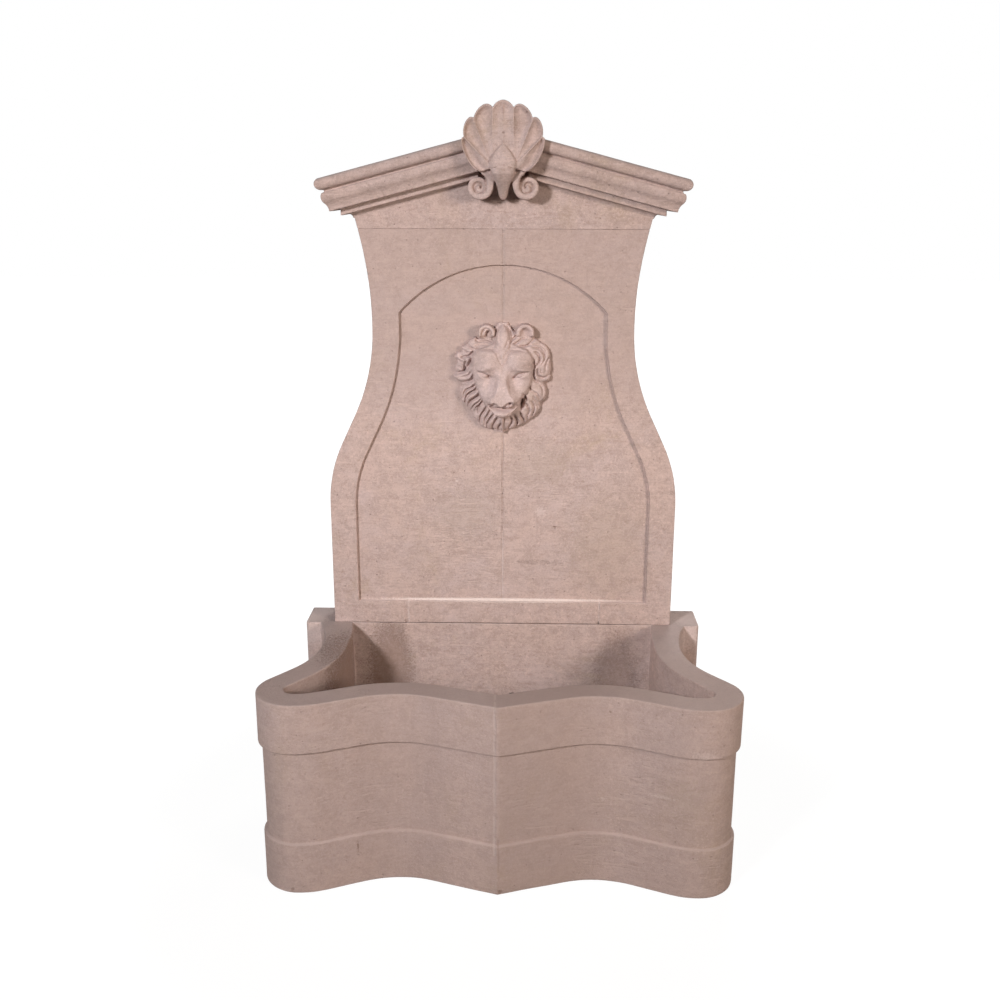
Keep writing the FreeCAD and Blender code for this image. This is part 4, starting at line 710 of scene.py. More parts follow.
def wander(shape, low, high, swing):
    """Move each point along its normal by a smooth chance amount, inside the box."""
    shape.normal_update()
    moves = []
    for vert in shape.verts:
        slow = noise.noise(vert.co * SLOW_SCALE)
        quick = noise.noise(vert.co * QUICK_SCALE)
        moves.append(vert.normal * swing * (0.65 * slow + 0.35 * quick))
    for vert, move in zip(shape.verts, moves):
        place = vert.co + move
        vert.co = Vector(min(max(place[i], low[i]), high[i]) for i in range(3))


def as_object(shape, name, material, smooth_angle=35.0):
    mesh = bpy.data.meshes.new(name)
    shape.to_mesh(mesh)
    shape.free()
    item = bpy.data.objects.new(name, mesh)
    scene.collection.objects.link(item)
    mesh.materials.append(material)
    mesh.shade_smooth()
    mesh.set_sharp_from_angle(angle=math.radians(smooth_angle))
    return item


def baked(item):
    """Turn an object's modifiers into its plain mesh."""
    graph = bpy.context.evaluated_depsgraph_get()
    mesh = bpy.data.meshes.new_from_object(item.evaluated_get(graph))
    item.modifiers.clear()
    item.data = mesh
    return item


def shallower(shape):
    """Bring the panel's sunk field nearer to the face round it; both are mm off the wall."""
    for vert in shape.verts:
        out = (WALL_Y - vert.co.y) / MM
        if FIELD_FACE - 3.0 <= out < PANEL_FACE - 0.05:
            vert.co.y = WALL_Y - (PANEL_FACE - (PANEL_FACE - out) * FIELD_SHARE) * MM


def soft_stone(node, material, arris, step, swing, scores=()):
    """Object with the node's shape, soft arrises and slightly uneven faces."""
    low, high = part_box(node)
    shape = welded_copy(node)
    if node == "back_panel":
        shallower(shape)
    rounded = soften(shape, arris, scores)
    sliced(shape, step, low, high)
    bmesh.ops.triangulate(shape, faces=[face for face in shape.faces if len(face.verts) > 4])
    wander(shape, low, high, swing)
    item = as_object(shape, node + "_stone", material, 50.0)
    weigh = item.modifiers.new("weigh", "WEIGHTED_NORMAL")
    weigh.mode = "FACE_AREA"
    weigh.weight = 50
    weigh.keep_sharp = True
    baked(item)
    print(node, "edges rounded:", rounded, "faces:", len(item.data.polygons))
    return item


print("scored lines kept sharp at", SCORES)

# %% Basin, panel and pediment
BASIN = soft_stone("basin", BASIN_STONE, arris=3.2 * MM, step=0.022, swing=0.7 * MM)
PANEL = soft_stone("back_panel", PANEL_STONE, arris=2.0 * MM, step=0.022, swing=0.6 * MM,
                   scores=SCORES)
PEDIMENT = soft_stone("pediment", STONE, arris=1.5 * MM, step=0.020, swing=0.5 * MM)

# %% [markdown]
# The crest and the mask are relief: from the front every point has one height above the
# stone behind. So each is a field of heights on a fine grid, in millimetres, worked out by
# rules: flutes from the distances to the ridges beside them, locks of hair from the distance
# to the cuts between them. The field becomes a closed skin, and a voxel remesh gives it even
# faces.


# %% Height fields
GRID = 0.8


def grid(left, right, low, high):
    """Across and up of each point of a fine grid."""
    return np.meshgrid(np.arange(left, right, GRID), np.arange(low, high, GRID))


def eased(value, low, high):
    """0 at one number and 1 at another, smooth between them."""
    share = np.clip((value - low) / (high - low), 0.0, 1.0)
    return share * share * (3.0 - 2.0 * share)


def soft_max(first, second, blend):
    """Larger of two heights with a rounded join."""
    share = np.clip(0.5 + 0.5 * (first - second) / blend, 0.0, 1.0)
    return second + (first - second) * share + blend * share * (1.0 - share)


def blurred(field, times):
    """Field averaged with its neighbours."""
    for _ in range(times):
        padded = np.pad(field, 1, mode="edge")
        field = (padded[1:-1, 1:-1] * 4 + padded[:-2, 1:-1] + padded[2:, 1:-1]
                 + padded[1:-1, :-2] + padded[1:-1, 2:]) / 8.0
    return field


def bezier(points, count=26):
    """Points along a cubic curve."""
    t = np.linspace(0.0, 1.0, count)[:, None]
    a, b, c, d = (np.array(point, float) for point in points)
    return a * (1 - t) ** 3 + 3 * b * t * (1 - t) ** 2 + 3 * c * t * t * (1 - t) + d * t ** 3


def ridge(across, up, path, widths, heights, crown):
    """Rounded ridge along a path of short runs."""
    result = np.full(across.shape, -99.0)
    for index in range(len(path) - 1):
        (x1, z1), (x2, z2) = path[index], path[index + 1]
        run_x, run_z = x2 - x1, z2 - z1
        length = max(math.hypot(run_x, run_z), 1e-6)
        share = np.clip(((across - x1) * run_x + (up - z1) * run_z) / length ** 2, 0.0, 1.0)
        away = np.hypot(across - x1 - share * run_x, up - z1 - share * run_z)
        width = widths[index] + (widths[index + 1] - widths[index]) * share
        height = heights[index] + (heights[index + 1] - heights[index]) * share
        near = away / width
        section = height + crown * width * np.sqrt(np.clip(1.0 - near * near, 0.0, 1.0))
        result = np.where(near < 1.0, np.maximum(result, section), result)
    return result


print("grid step", GRID, "mm")


# %% Relief into a mesh
HOLLOW_REACH = 5


def relief_shape(across, up, field, floor_height, wall_out):
    """Closed bmesh of a height field in mm, cut where it comes down to its floor."""
    shape = bmesh.new()
    rows, columns = field.shape
    points = [[shape.verts.new((across[i, j] * MM, WALL_Y - (wall_out + field[i, j]) * MM,
                                up[i, j] * MM)) for j in range(columns)] for i in range(rows)]
    for i in range(rows - 1):
        for j in range(columns - 1):
            corners = (field[i, j], field[i, j + 1], field[i + 1, j + 1], field[i + 1, j])
            if max(corners) > floor_height:
                shape.faces.new((points[i][j], points[i][j + 1], points[i + 1][j + 1],
                                 points[i + 1][j]))
    plane_y = WALL_Y - (wall_out + floor_height) * MM
    bmesh.ops.delete(shape, geom=[v for v in shape.verts if not v.link_faces], context="VERTS")
    bmesh.ops.bisect_plane(
        shape, geom=shape.verts[:] + shape.edges[:] + shape.faces[:], dist=1e-7,
        plane_co=(0, plane_y, 0), plane_no=(0, 1, 0), clear_outer=True)
    rims = [edge for edge in shape.edges if edge.is_boundary]
    bmesh.ops.triangle_fill(shape, edges=rims, use_beauty=True)
    bmesh.ops.recalc_face_normals(shape, faces=shape.faces)
    return shape


def remeshed(item, voxel):
    """Even skin over a mesh, slightly smoothed."""
    skin = item.modifiers.new("skin", "REMESH")
    skin.mode = "VOXEL"
    skin.voxel_size = voxel
    skin.use_smooth_shade = True
    calm = item.modifiers.new("calm", "SMOOTH")
    calm.factor = 0.5
    calm.iterations = 1
    baked(item)


def mark_hollows(item, reach, gain):
    """Attribute that is positive in grooves and negative on edges."""
    mesh = item.data
    count = len(mesh.vertices)
    places, normals = np.empty((count, 3)), np.empty((count, 3))
    mesh.vertices.foreach_get("co", places.ravel())
    mesh.vertices.foreach_get("normal", normals.ravel())
    ends = np.empty(len(mesh.edges) * 2, dtype=np.int64)
    mesh.edges.foreach_get("vertices", ends)
    first, second = ends.reshape(-1, 2).T
    degree = np.bincount(ends, minlength=count).astype(float)

    def spread(values):
        total = np.zeros_like(values)
        np.add.at(total, first, values[second])
        np.add.at(total, second, values[first])
        return total / np.maximum(degree, 1.0)[:, None]

    calm = places
    for _ in range(reach):
        calm = spread(calm)
    depth = ((calm - places) * normals).sum(axis=1)
    values = np.clip(depth * gain, -1.0, 1.0)
    layer = mesh.attributes.new("hollow", "FLOAT", "POINT")
    layer.data.foreach_set("value", values.astype(np.float32))
    return float(values.min()), float(values.max())


def relief_piece(shape, name, material, voxel, gain):
    """Object from a relief's shape, with even faces and its hollows marked."""
    item = as_object(shape, name, material)
    remeshed(item, voxel)
    dress(item, material)
    spread = mark_hollows(item, HOLLOW_REACH, gain)
    print(name, "faces:", len(item.data.polygons), "hollow range", spread)
    return item


print("hollows are measured over", HOLLOW_REACH, "rings of neighbours")

# %% [markdown]
# The scallop's rim is a row of seven bows that get shorter towards the sides, and the last
# pair sweeps round to the hub. The flutes don't all leave one point: a straight band runs up
# the middle, and the ridges beside it leave the bulb's flanks and fan out. So a point's flute
# comes from its distance to the two ridges beside it. Each flute is a spoon that is deepest
# just inside the rim.

# %% Shell
HUB_UP = 1262.0
FAN_BACK = 61.0
FAN_FRONT = 84.0
NOTCH_ANGLES = np.radians([0.0, 11.0, 33.0, 55.0, 106.0])
NOTCH_RADII = np.array([97.0, 97.0, 94.0, 84.0, 44.0])
BOW_RISE = np.array([12.0, 11.0, 8.5])
SIDE_ANGLES = np.radians([55.0, 57.0, 60.0, 66.0, 76.0, 86.0, 94.0, 101.0, 106.0])
SIDE_RADII = np.array([84.0, 86.0, 85.5, 79.5, 69.0, 60.0, 53.5, 47.0, 40.0])
RIDGES = (((19.0, 8.0), (18.5, 97.0)), ((24.0, 9.0), (54.0, 82.0)),
          ((26.0, 5.0), (72.0, 50.0)))


def rim_radius(angle):
    """Distance from the hub to the scalloped rim."""
    lobe = np.clip(np.searchsorted(NOTCH_ANGLES, angle) - 1, 0, 2)
    low, high = NOTCH_ANGLES[lobe], NOTCH_ANGLES[lobe + 1]
    share = np.clip((angle - low) / (high - low), 0.0, 1.0)
    skewed = np.where(lobe == 0, 0.5 + 0.5 * share, share ** 0.66)
    bow = BOW_RISE[lobe] * np.sin(np.pi * skewed) ** 0.72
    edge = np.interp(angle, NOTCH_ANGLES, NOTCH_RADII) + bow
    side = np.interp(angle, SIDE_ANGLES, SIDE_RADII)
    return np.where(angle > SIDE_ANGLES[0], side, edge)


def from_line(x, z, ends):
    """Signed distance from a line, positive on its outer side."""
    (x1, z1), (x2, z2) = ends
    run_x, run_z = x2 - x1, z2 - z1
    return ((x - x1) * run_z - (z - z1) * run_x) / math.hypot(run_x, run_z)


def flute_bow(across, height, radius, edge):
    """0 on a ridge and 1 along the middle of a flute."""
    first, second, third = (from_line(across, height, ends) for ends in RIDGES)
    rim_gap = np.maximum(edge - radius, 0.0)
    middle = 1.0 - np.clip(across / np.maximum(across - first, 1.0), 0.0, 1.0) ** 2
    bow = np.where(first < 0, middle, 0.0)
    for inner, outer in ((first, second), (second, third)):
        share = np.clip(inner / np.maximum(inner - outer, 1e-3), 0.0, 1.0)
        bow = np.where((inner >= 0) & (outer < 0), 4.0 * share * (1.0 - share), bow)
    share = np.clip(third / np.maximum(third + rim_gap, 1e-3), 0.0, 1.0)
    return np.where(third >= 0, 4.0 * share * (1.0 - share), bow)


def fan_field(across, up):
    """Shell, in mm above the panel's face."""
    mirror, height = np.abs(across), up - HUB_UP
    angle = np.arctan2(mirror, height)
    radius = np.hypot(mirror, height)
    edge = rim_radius(angle)
    bow = flute_bow(mirror, height, radius, edge)
    run = radius / edge
    scoop = eased(run, 0.22, 0.80) * (1.0 - 0.80 * eased(run, 0.90, 0.985))
    centre = from_line(mirror, height, RIDGES[0]) < 0
    deepest = np.where(centre, 6.5, 10.5)
    bulge = 2.2 * (1.0 - np.clip(mirror / 8.0, 0.0, 1.0) ** 2) * eased(run, 0.15, 0.5)
    filled = np.where(centre, bulge * (1.0 - eased(run, 0.7, 0.9)), 0.0)
    depth = deepest * scoop * bow ** 0.75 - filled
    field = FAN_FRONT - 1.0 - depth - 3.0 * eased(run, 0.2, 0.9) * (mirror / 60.0)
    field = field - 7.0 * (1.0 - eased(run, 0.22, 0.62))
    rim = np.clip((edge - radius) / 3.2, 0.0, 1.0)
    field = field - 3.6 * (1.0 - np.sqrt(np.clip(1.0 - (1.0 - rim) ** 2, 0.0, 1.0)))
    outside = (radius > edge) | (angle > SIDE_ANGLES[-1])
    return np.where(outside, FAN_BACK - 20.0, field)


print("shell stands from", FAN_BACK, "to", FAN_FRONT, "mm off the panel")

# %% [markdown]
# Below the shell hang the bulb, which thins to a tongue, and two scrolls, each a rounded band
# that winds in one and a half turns to an eye. Shell and bulb meet with a rounded join, and
# the scrolls lie further back.

# %% Bulb, scrolls and crest
SCROLL_CENTRE = (43.5, 1225.0)
SCROLL_BACK = 20.5
NO_STONE = -20.0
# Height, half width and top of the bulb and its tongue.
TONGUE = np.array([
    [1202.5, 0.5, 34.0], [1205.0, 5.2, 39.0], [1209.0, 7.6, 43.0], [1214.0, 8.8, 48.0],
    [1225.0, 11.0, 60.0], [1239.0, 16.0, 76.0], [1248.0, 20.0, 84.0], [1260.0, 24.5, 87.6],
    [1270.0, 23.0, 86.5], [1284.0, 14.0, 83.0], [1296.0, 3.0, 80.0]])


def tongue_field(across, up):
    """Bulb below the hub, and the tongue that it thins to."""
    levels, halves, tops = TONGUE.T
    half = np.interp(up, levels, halves, left=0.0, right=0.0)
    top = np.interp(up, levels, tops)
    near = np.abs(across) / np.maximum(half, 0.01)
    drop = np.interp(up, [1202.0, 1240.0, 1262.0, 1290.0], [0.95, 0.75, 0.42, 0.10])
    section = top - drop * half * (1.0 - np.sqrt(np.clip(1.0 - near * near, 0.0, 1.0)))
    return np.where(near < 1.0, section, NO_STONE)


def scroll_field(across, up):
    """The two scrolls: a band, an eye and the pan that they lie in."""
    centre_x, centre_up = SCROLL_CENTRE
    mirror = np.abs(across)
    turns = np.linspace(0.0, 1.0, 110)
    angles = np.radians(112.0 + 560.0 * turns)
    radii = np.interp(turns, [0.0, 0.12, 0.30, 0.48, 0.66, 0.85, 1.0],
                      [30.0, 20.0, 16.2, 16.0, 12.6, 7.4, 4.2])
    widths = np.interp(turns, [0.0, 0.15, 0.5, 0.8, 1.0], [8.0, 6.0, 4.8, 3.9, 3.2])
    path = np.stack([centre_x + radii * np.cos(angles), centre_up + radii * np.sin(angles)], 1)
    heights = np.interp(turns, [0.0, 0.15, 0.3, 1.0], [58.0, 49.0, 41.5, 40.5])
    band = ridge(mirror, up, path, widths, heights, 0.55)
    eye = np.hypot(mirror - centre_x - 1.0, up - centre_up)
    dome = 41.5 + 2.2 * np.sqrt(np.clip(1.0 - (eye / 3.4) ** 2, 0, 1))
    ball = np.where(eye < 3.4, dome, NO_STONE)
    pan = np.where(np.hypot(mirror - centre_x, up - centre_up) < 18.5, 37.5, NO_STONE)
    return np.maximum(np.maximum(band, ball), pan)


def neck_field(across, up, fan):
    """Stone behind the hub that ties fan, bulb and scrolls together."""
    half = np.interp(up, [1231.0, 1240.0, 1262.0, 1326.0], [30.0, 46.0, 50.0, 44.5])
    inside = (np.abs(across) < half) & (up > 1236.0) & (fan > FAN_BACK)
    return np.where(inside, FAN_BACK + 3.0, NO_STONE)


def crest():
    across, up = grid(-84.0, 84.6, 1200.0, 1373.0)
    fan = fan_field(across, up)
    tongue = tongue_field(across, up)
    front = np.where(fan > FAN_BACK, soft_max(fan, tongue, 1.6), fan)
    low = np.maximum(np.maximum(tongue, scroll_field(across, up)), neck_field(across, up, fan))
    low = np.where(fan > FAN_BACK, np.minimum(low, FAN_BACK + 4.0), low)
    upper_half = relief_shape(across, up, blurred(front, 1), FAN_BACK, PANEL_FACE)
    lower_half = relief_shape(across, up, blurred(low, 1), SCROLL_BACK, PANEL_FACE)
    second = as_object(lower_half, "crest_lower", CREST_STONE)
    upper_half.from_mesh(second.data)
    bpy.data.objects.remove(second)
    return relief_piece(upper_half, "shell_crest_carved", CREST_STONE, voxel=1.0 * MM,
                        gain=1100.0)


CREST = crest()

# %% [markdown]
# The mask is built the same way. The face is lofted through level sections: at each height a
# row gives how far the stone stands out at the middle and at every ten millimetres to the
# side. Mounds for brows, lids, muzzle and nose are added to it, and the chin and the forelock
# join it softly.

# %% Lion's face
MASK_UP = 873.0
SECTION_UPS = [-100, -85, -70, -60, -50, -42, -33, -26, -16, -5, 6, 14, 24, 36, 48, 60, 80,
               100]
SECTIONS = [
    [30, 30, 28, 24, 18, 10, 2, -8],
    [43, 42, 40, 36, 30, 22, 12, 0],
    [53, 52, 49, 43, 36, 28, 18, 6],
    [60, 58, 54, 47, 39, 30, 21, 10],
    [66, 64, 59, 51, 42, 32, 23, 12],
    [74, 71, 64, 55, 45, 34, 25, 14],
    [80, 76, 67, 57, 47, 37, 27, 16],
    [79, 74, 64, 56, 48, 39, 29, 18],
    [74, 68, 59, 54, 49, 41, 31, 19],
    [68, 62, 55, 53, 50, 43, 33, 20],
    [63, 58, 51, 51, 50, 45, 35, 21],
    [60, 58, 54, 54, 52, 47, 37, 22],
    [59, 60, 60, 59, 56, 50, 39, 23],
    [57, 60, 62, 61, 58, 51, 40, 24],
    [55, 58, 60, 59, 55, 49, 38, 24],
    [52, 54, 55, 53, 49, 43, 34, 22],
    [46, 45, 43, 39, 34, 28, 20, 12],
    [34, 33, 30, 26, 20, 12, 4, -6],
]


def lofted(across, up):
    """Height of the face from its level sections, smooth both ways."""
    rows = np.array(SECTIONS, float)
    mirror = np.clip(np.abs(across), 0.0, 70.0) / 10.0
    column = np.minimum(mirror.astype(int), 6)
    side = mirror - column
    levels = np.array(SECTION_UPS, float)
    place = np.interp(up, levels, np.arange(len(levels)))
    row = np.minimum(place.astype(int), len(levels) - 2)
    rise = place - row
    low = rows[row, column] * (1 - side) + rows[row, column + 1] * side
    high = rows[row + 1, column] * (1 - side) + rows[row + 1, column + 1] * side
    return low * (1 - rise) + high * rise


def pad(across, up, centre, radii, top, rise):
    """Rounded cushion: rises above top - rise inside an ellipse."""
    near = ((across - centre[0]) / radii[0]) ** 2 + ((up - centre[1]) / radii[1]) ** 2
    return np.where(near < 1.0, top - rise + rise * np.sqrt(np.clip(1.0 - near, 0, 1)), -99.0)


def swell(across, up, centre, reach, rise, turn=0.0):
    """Smooth mound with no edge, to be added to a face."""
    angle = math.radians(turn)
    side, level = across - centre[0], up - centre[1]
    along = side * math.cos(angle) + level * math.sin(angle)
    over = level * math.cos(angle) - side * math.sin(angle)
    return rise * np.exp(-(along / reach[0]) ** 2 - (over / reach[1]) ** 2)


def head_field(across, up):
    """The face without its grooves, in mm above the panel's field."""
    face = blurred(lofted(across, up), 60)
    for side in (-1, 1):
        face = face + swell(across, up, (side * 30, 36), (19, 13), 5.5, side * -8)
        face = face + swell(across, up, (side * 36, 23), (16, 5), 3.5, side * -16)
        face = face + swell(across, up, (side * 15, -36), (12, 9), 7.0)
        face = face + swell(across, up, (side * 36, 11), (11, 5.5), 4.0, side * -14)
        face = face - swell(across, up, (side * 24, -6), (9, 14), 4.5, side * 12)
    levels = [-50.0, -47.0, -42.0, -30.0, -14.0, 2.0, 16.0, 28.0]
    rise = np.interp(up, levels, [0.0, 7.0, 13.0, 12.0, 8.5, 7.0, 3.0, 0.0])
    flat = np.interp(up, levels, [9.0, 9.0, 10.0, 8.0, 6.5, 6.0, 5.0, 4.0])
    fall = np.interp(up, levels, [17.0, 18.0, 19.0, 18.0, 15.5, 14.0, 15.0, 16.0])
    face = face + rise * (1.0 - eased(np.abs(across), flat, fall))
    face = soft_max(face, pad(across, up, (0, -60), (17, 7), 66.0, 9.0), 4.0)
    cap = np.interp(up, [48.0, 56.0, 64.0, 76.0, 100.0], [70.0, 55.0, 39.0, 27.0, 16.0])
    face = -soft_max(-face, -cap, 3.0)
    forelock = bezier([(0, 33), (0, 50), (0, 72), (0, 100)], 24)
    along = np.linspace(0, 1, 24)
    widths = np.interp(along, [0.0, 0.2, 0.45, 0.75, 1.0], [2.0, 8.0, 14.0, 14.0, 3.0])
    heights = np.interp(along, [0.0, 0.25, 0.5, 0.75, 1.0], [57.0, 53.0, 38.0, 29.0, 22.0])
    return soft_max(face, ridge(across, up, forelock, widths, heights, 0.6), 2.5)


print("face sections:", len(SECTIONS))

# %% [markdown]
# The eyes, the nose's lower edge and the mouth are cut into the face. A cut follows a smooth
# line through a few points, is deepest along its middle and grows shallow towards its ends.


# %% Cuts in the face
def bezier_through(points, steps=6):
    """Smooth run of points through the given ones."""
    ends = [points[0], *points, points[-1]]
    line = []
    for a, b, c, d in zip(ends[:-3], ends[1:-2], ends[2:-1], ends[3:]):
        for t in np.linspace(0.0, 1.0, steps, endpoint=False):
            line.append(tuple(0.5 * (
                2 * b[i] + (c[i] - a[i]) * t
                + (2 * a[i] - 5 * b[i] + 4 * c[i] - d[i]) * t * t
                + (3 * b[i] - a[i] - 3 * c[i] + d[i]) * t ** 3) for i in (0, 1)))
    return line + [tuple(points[-1])]


def grooved(field, across, up, path, width, depth):
    """Field cut along a path, deepest at its middle and run out at its ends."""
    fine = np.array(bezier_through(path))
    away = np.full(across.shape, 999.0)
    place = np.zeros(across.shape)
    for index in range(len(fine) - 1):
        (x1, z1), (x2, z2) = fine[index], fine[index + 1]
        run_x, run_z = x2 - x1, z2 - z1
        square = run_x ** 2 + run_z ** 2 + 1e-9
        share = np.clip(((across - x1) * run_x + (up - z1) * run_z) / square, 0.0, 1.0)
        gap = np.hypot(across - x1 - share * run_x, up - z1 - share * run_z)
        nearer = gap < away
        away = np.where(nearer, gap, away)
        place = np.where(nearer, (index + share) / (len(fine) - 1), place)
    full = np.interp(place, [0.0, 0.15, 0.6, 1.0], [0.45, 1.0, 1.0, 0.45])
    return field - depth * full * np.exp(-(away / (width * (0.6 + 0.4 * full))) ** 2)


def carved(field, across, up, cuts):
    """Field with all cuts; a row is a width, a depth, and then across and up of points."""
    for width, depth, *numbers in cuts:
        path = list(zip(numbers[::2], numbers[1::2]))
        field = grooved(field, across, up, path, width, depth)
    return field


FACE_GROOVES = [
    (2.4, 6.0, -47, 20, -40, 17, -33, 14, -25, 10),
    (2.6, 8.0, -28, 11, -25, 9, -22, 7),
    (1.5, 2.2, -45, 15, -38, 10, -30, 7, -24, 7),
    (2.6, 8.0, 19, 7, 22, 8, 26, 11),
    (2.2, 6.5, 25, 12, 34, 16, 48, 18),
    (1.5, 2.6, 25, 7, 34, 9, 43, 14),
    (1.8, 1.5, 0, 31, 0, 24, 0, 14),
    (2.4, 9.0, 18, -38, 9, -42, 1, -49),
    (2.4, 8.0, -18, -40, -14, -42, -8, -46),
    (4.0, 17.0, -24, -44, -14, -49, 0, -51, 14, -50, 27, -47),
    (4.2, 22.0, 36, -34, 37, -42, 35, -52),
    (2.4, 9.0, 39, -24, 42, -31, 45, -38),
    (2.2, 3.5, -15, -66, -3, -69, 8, -66, 13, -60),
    (1.8, 4.0, -52, 52, -40, 59, -24, 61, -12, 54, -8, 44, -1, 32),
    (1.8, 4.0, 50, 54, 38, 58, 22, 58, 11, 52, 8, 42, 1, 32),
    (3.2, 8.0, 12, -40, 20, -43, 28, -42, 36, -36),
    (1.6, 2.6, -2, 42, -8, 56, -20, 60, -40, 58),
    (1.6, 2.6, 2, 42, 8, 56, 20, 60, 40, 58),
    (1.6, 2.6, -3, 60, -8, 68, -20, 70, -34, 68),
    (1.6, 2.6, 3, 60, 8, 68, 20, 70, 34, 68),
    (1.5, 2.4, -4, 72, -6, 84, -5, 92, -3, 98),
    (1.8, 3.2, 5, 66, 12, 80, 10, 92, 6, 98),
]
print("cuts in the face:", len(FACE_GROOVES))

# %% [markdown]
# The mane is one ring of stone with a wavy outline, low at its edge and full by the face, and
# the locks are what is left between curved cuts, which is also how a carver makes them. Each
# cut is a half width, a depth and a few points that a smooth line runs through. On the left
# the locks swing out and down, on the right they curl, and below they hang as a beard.

# %% Lion's mane
MANE_OUTLINE = [
    (-13, 101), (0, 104), (12, 102), (19, 92), (26, 90), (50, 84), (60, 78), (66, 75), (72, 70),
    (80, 66), (87, 56), (90, 46), (91, 30), (92, 20), (90, 11), (92, 4), (87, -4), (79, -7),
    (83, -16), (84, -27), (81, -38), (72, -46), (72, -57), (66, -67), (58, -75), (49, -81),
    (42, -87), (33, -91), (25, -95), (10, -99), (-4, -101), (-17, -99), (-30, -98), (-43, -92),
    (-48, -84), (-57, -75), (-60, -64), (-68, -57), (-73, -48), (-76, -46), (-82, -34),
    (-83, -20), (-79, -12), (-85, -5), (-92, 0), (-96, 8), (-89, 13), (-92, 24), (-88, 33),
    (-93, 42), (-87, 51), (-79, 53), (-80, 62), (-72, 64), (-66, 72), (-60, 76), (-52, 80),
    (-46, 76), (-26, 84), (-18, 90),
]
MANE_GROOVES = [
    (4.0, 22.0, 36, -33, 37, -42, 35, -54),
    (2.3, 11.0, 39, -23, 42, -31, 46, -39),
    (2.8, 12.0, -55, 54, -60, 47, -66, 44, -78, 42),
    (3.2, 15.0, -59, 42, -62, 32, -67, 24, -73, 16, -82, 12, -95, 9),
    (2.6, 11.0, -70, 35, -72, 26, -73, 17),
    (2.0, 6.0, -60, 16, -65, 9, -72, 6, -84, 4),
    (2.9, 12.0, -56, 11, -57, 3, -62, -2, -70, -5, -80, -7),
    (2.2, 10.0, -51, -7, -58, -15, -67, -19, -73, -25, -76, -38),
    (2.8, 13.0, -48, -12, -54, -21, -64, -27, -70, -35, -72, -48),
    (2.9, 13.0, -42, -22, -48, -32, -58, -39, -64, -46, -67, -57),
    (1.9, 7.0, -41, -36, -47, -44, -54, -49, -59, -58),
    (2.7, 12.0, -34, -39, -41, -47, -46, -54, -48, -64),
    (1.6, 5.0, -38, -38, -44, -47, -51, -55, -54, -68),
    (2.1, 8.0, -30, -50, -35, -60, -41, -69, -43, -79, -44, -90),
    (2.0, 7.0, -22, -54, -27, -66, -33, -76, -35, -90),
    (2.3, 9.0, -17, -66, -25, -77, -30, -87, -29, -97),
    (2.3, 9.0, -9, -72, -16, -83, -19, -90, -19, -99),
    (2.1, 8.0, 2, -74, -1, -84, -7, -92, -8, -100),
    (2.1, 8.0, 14, -71, 18, -80, 14, -90, 9, -99),
    (2.3, 10.0, 21, -68, 27, -78, 28, -86, 24, -96),
    (2.3, 10.0, 33, -62, 37, -72, 41, -80, 40, -88),
    (2.0, 7.0, 44, -44, 49, -52, 51, -60, 47, -72, 48, -81),
    (2.0, 7.0, 55, -40, 60, -50, 60, -60, 56, -70, 58, -75),
    (1.6, 4.0, 64, -46, 68, -54, 66, -64),
    (2.2, 7.0, 48, -6, 51, -15, 57, -22),
    (2.0, 6.0, 58, -22, 66, -28, 71, -37),
    (1.6, 4.0, 58, -30, 61, -38, 66, -44),
    (1.6, 3.5, 72, -12, 77, -20, 77, -30),
    (2.6, 9.0, 57, 40, 58, 25, 58, 9, 62, 0, 69, -6),
    (2.2, 8.0, 60, 54, 66, 50, 70, 42, 69, 33, 61, 26),
    (2.2, 8.0, 56, 62, 70, 58, 78, 50, 80, 40, 74, 30),
    (1.8, 6.0, 88, 42, 84, 36, 81, 27, 82, 17),
    (2.2, 8.0, 66, 22, 66, 12, 71, 6, 79, 4, 87, 8),
    (1.5, 3.0, 72, 22, 73, 15, 80, 13),
    (1.7, 4.5, 36, 63, 52, 66, 66, 66, 78, 60, 84, 48),
    (2.0, 6.0, 16, 61, 30, 64, 44, 65, 54, 72, 60, 77),
    (2.0, 7.0, 14, 66, 26, 70, 38, 78, 44, 76),
    (2.2, 8.0, 12, 70, 20, 78, 26, 84, 23, 90),
    (2.0, 7.0, 5, 103, 11, 96, 16, 88, 17, 78),
    (1.8, 5.0, -5, 103, -11, 95, -15, 88, -16, 78),
    (1.8, 5.0, -14, 70, -20, 76, -24, 84),
    (1.8, 5.5, -14, 64, -28, 66, -44, 66, -58, 60),
    (2.2, 7.5, -18, 70, -32, 72, -46, 71, -54, 78),
    (2.0, 7.0, -46, 60, -56, 58, -70, 66),
    (1.8, 6.0, -58, 50, -68, 52, -78, 58),
    (1.6, 4.5, -66, 38, -76, 40, -84, 46),
    (1.8, 5.0, -74, 28, -80, 34, -90, 38),
    (1.8, 5.0, -76, 20, -82, 24, -91, 26),
    (1.8, 5.0, -66, -12, -74, -12, -80, -22, -81, -34),
]


print("mane outline points:", len(MANE_OUTLINE), "cuts:", len(MANE_GROOVES))

# %% [markdown]
# The ears are two cups with a raised rim, and the left one holds a curl. Face, ears and mane
# are joined by taking what stands out most, with a narrow rounded join round the face.


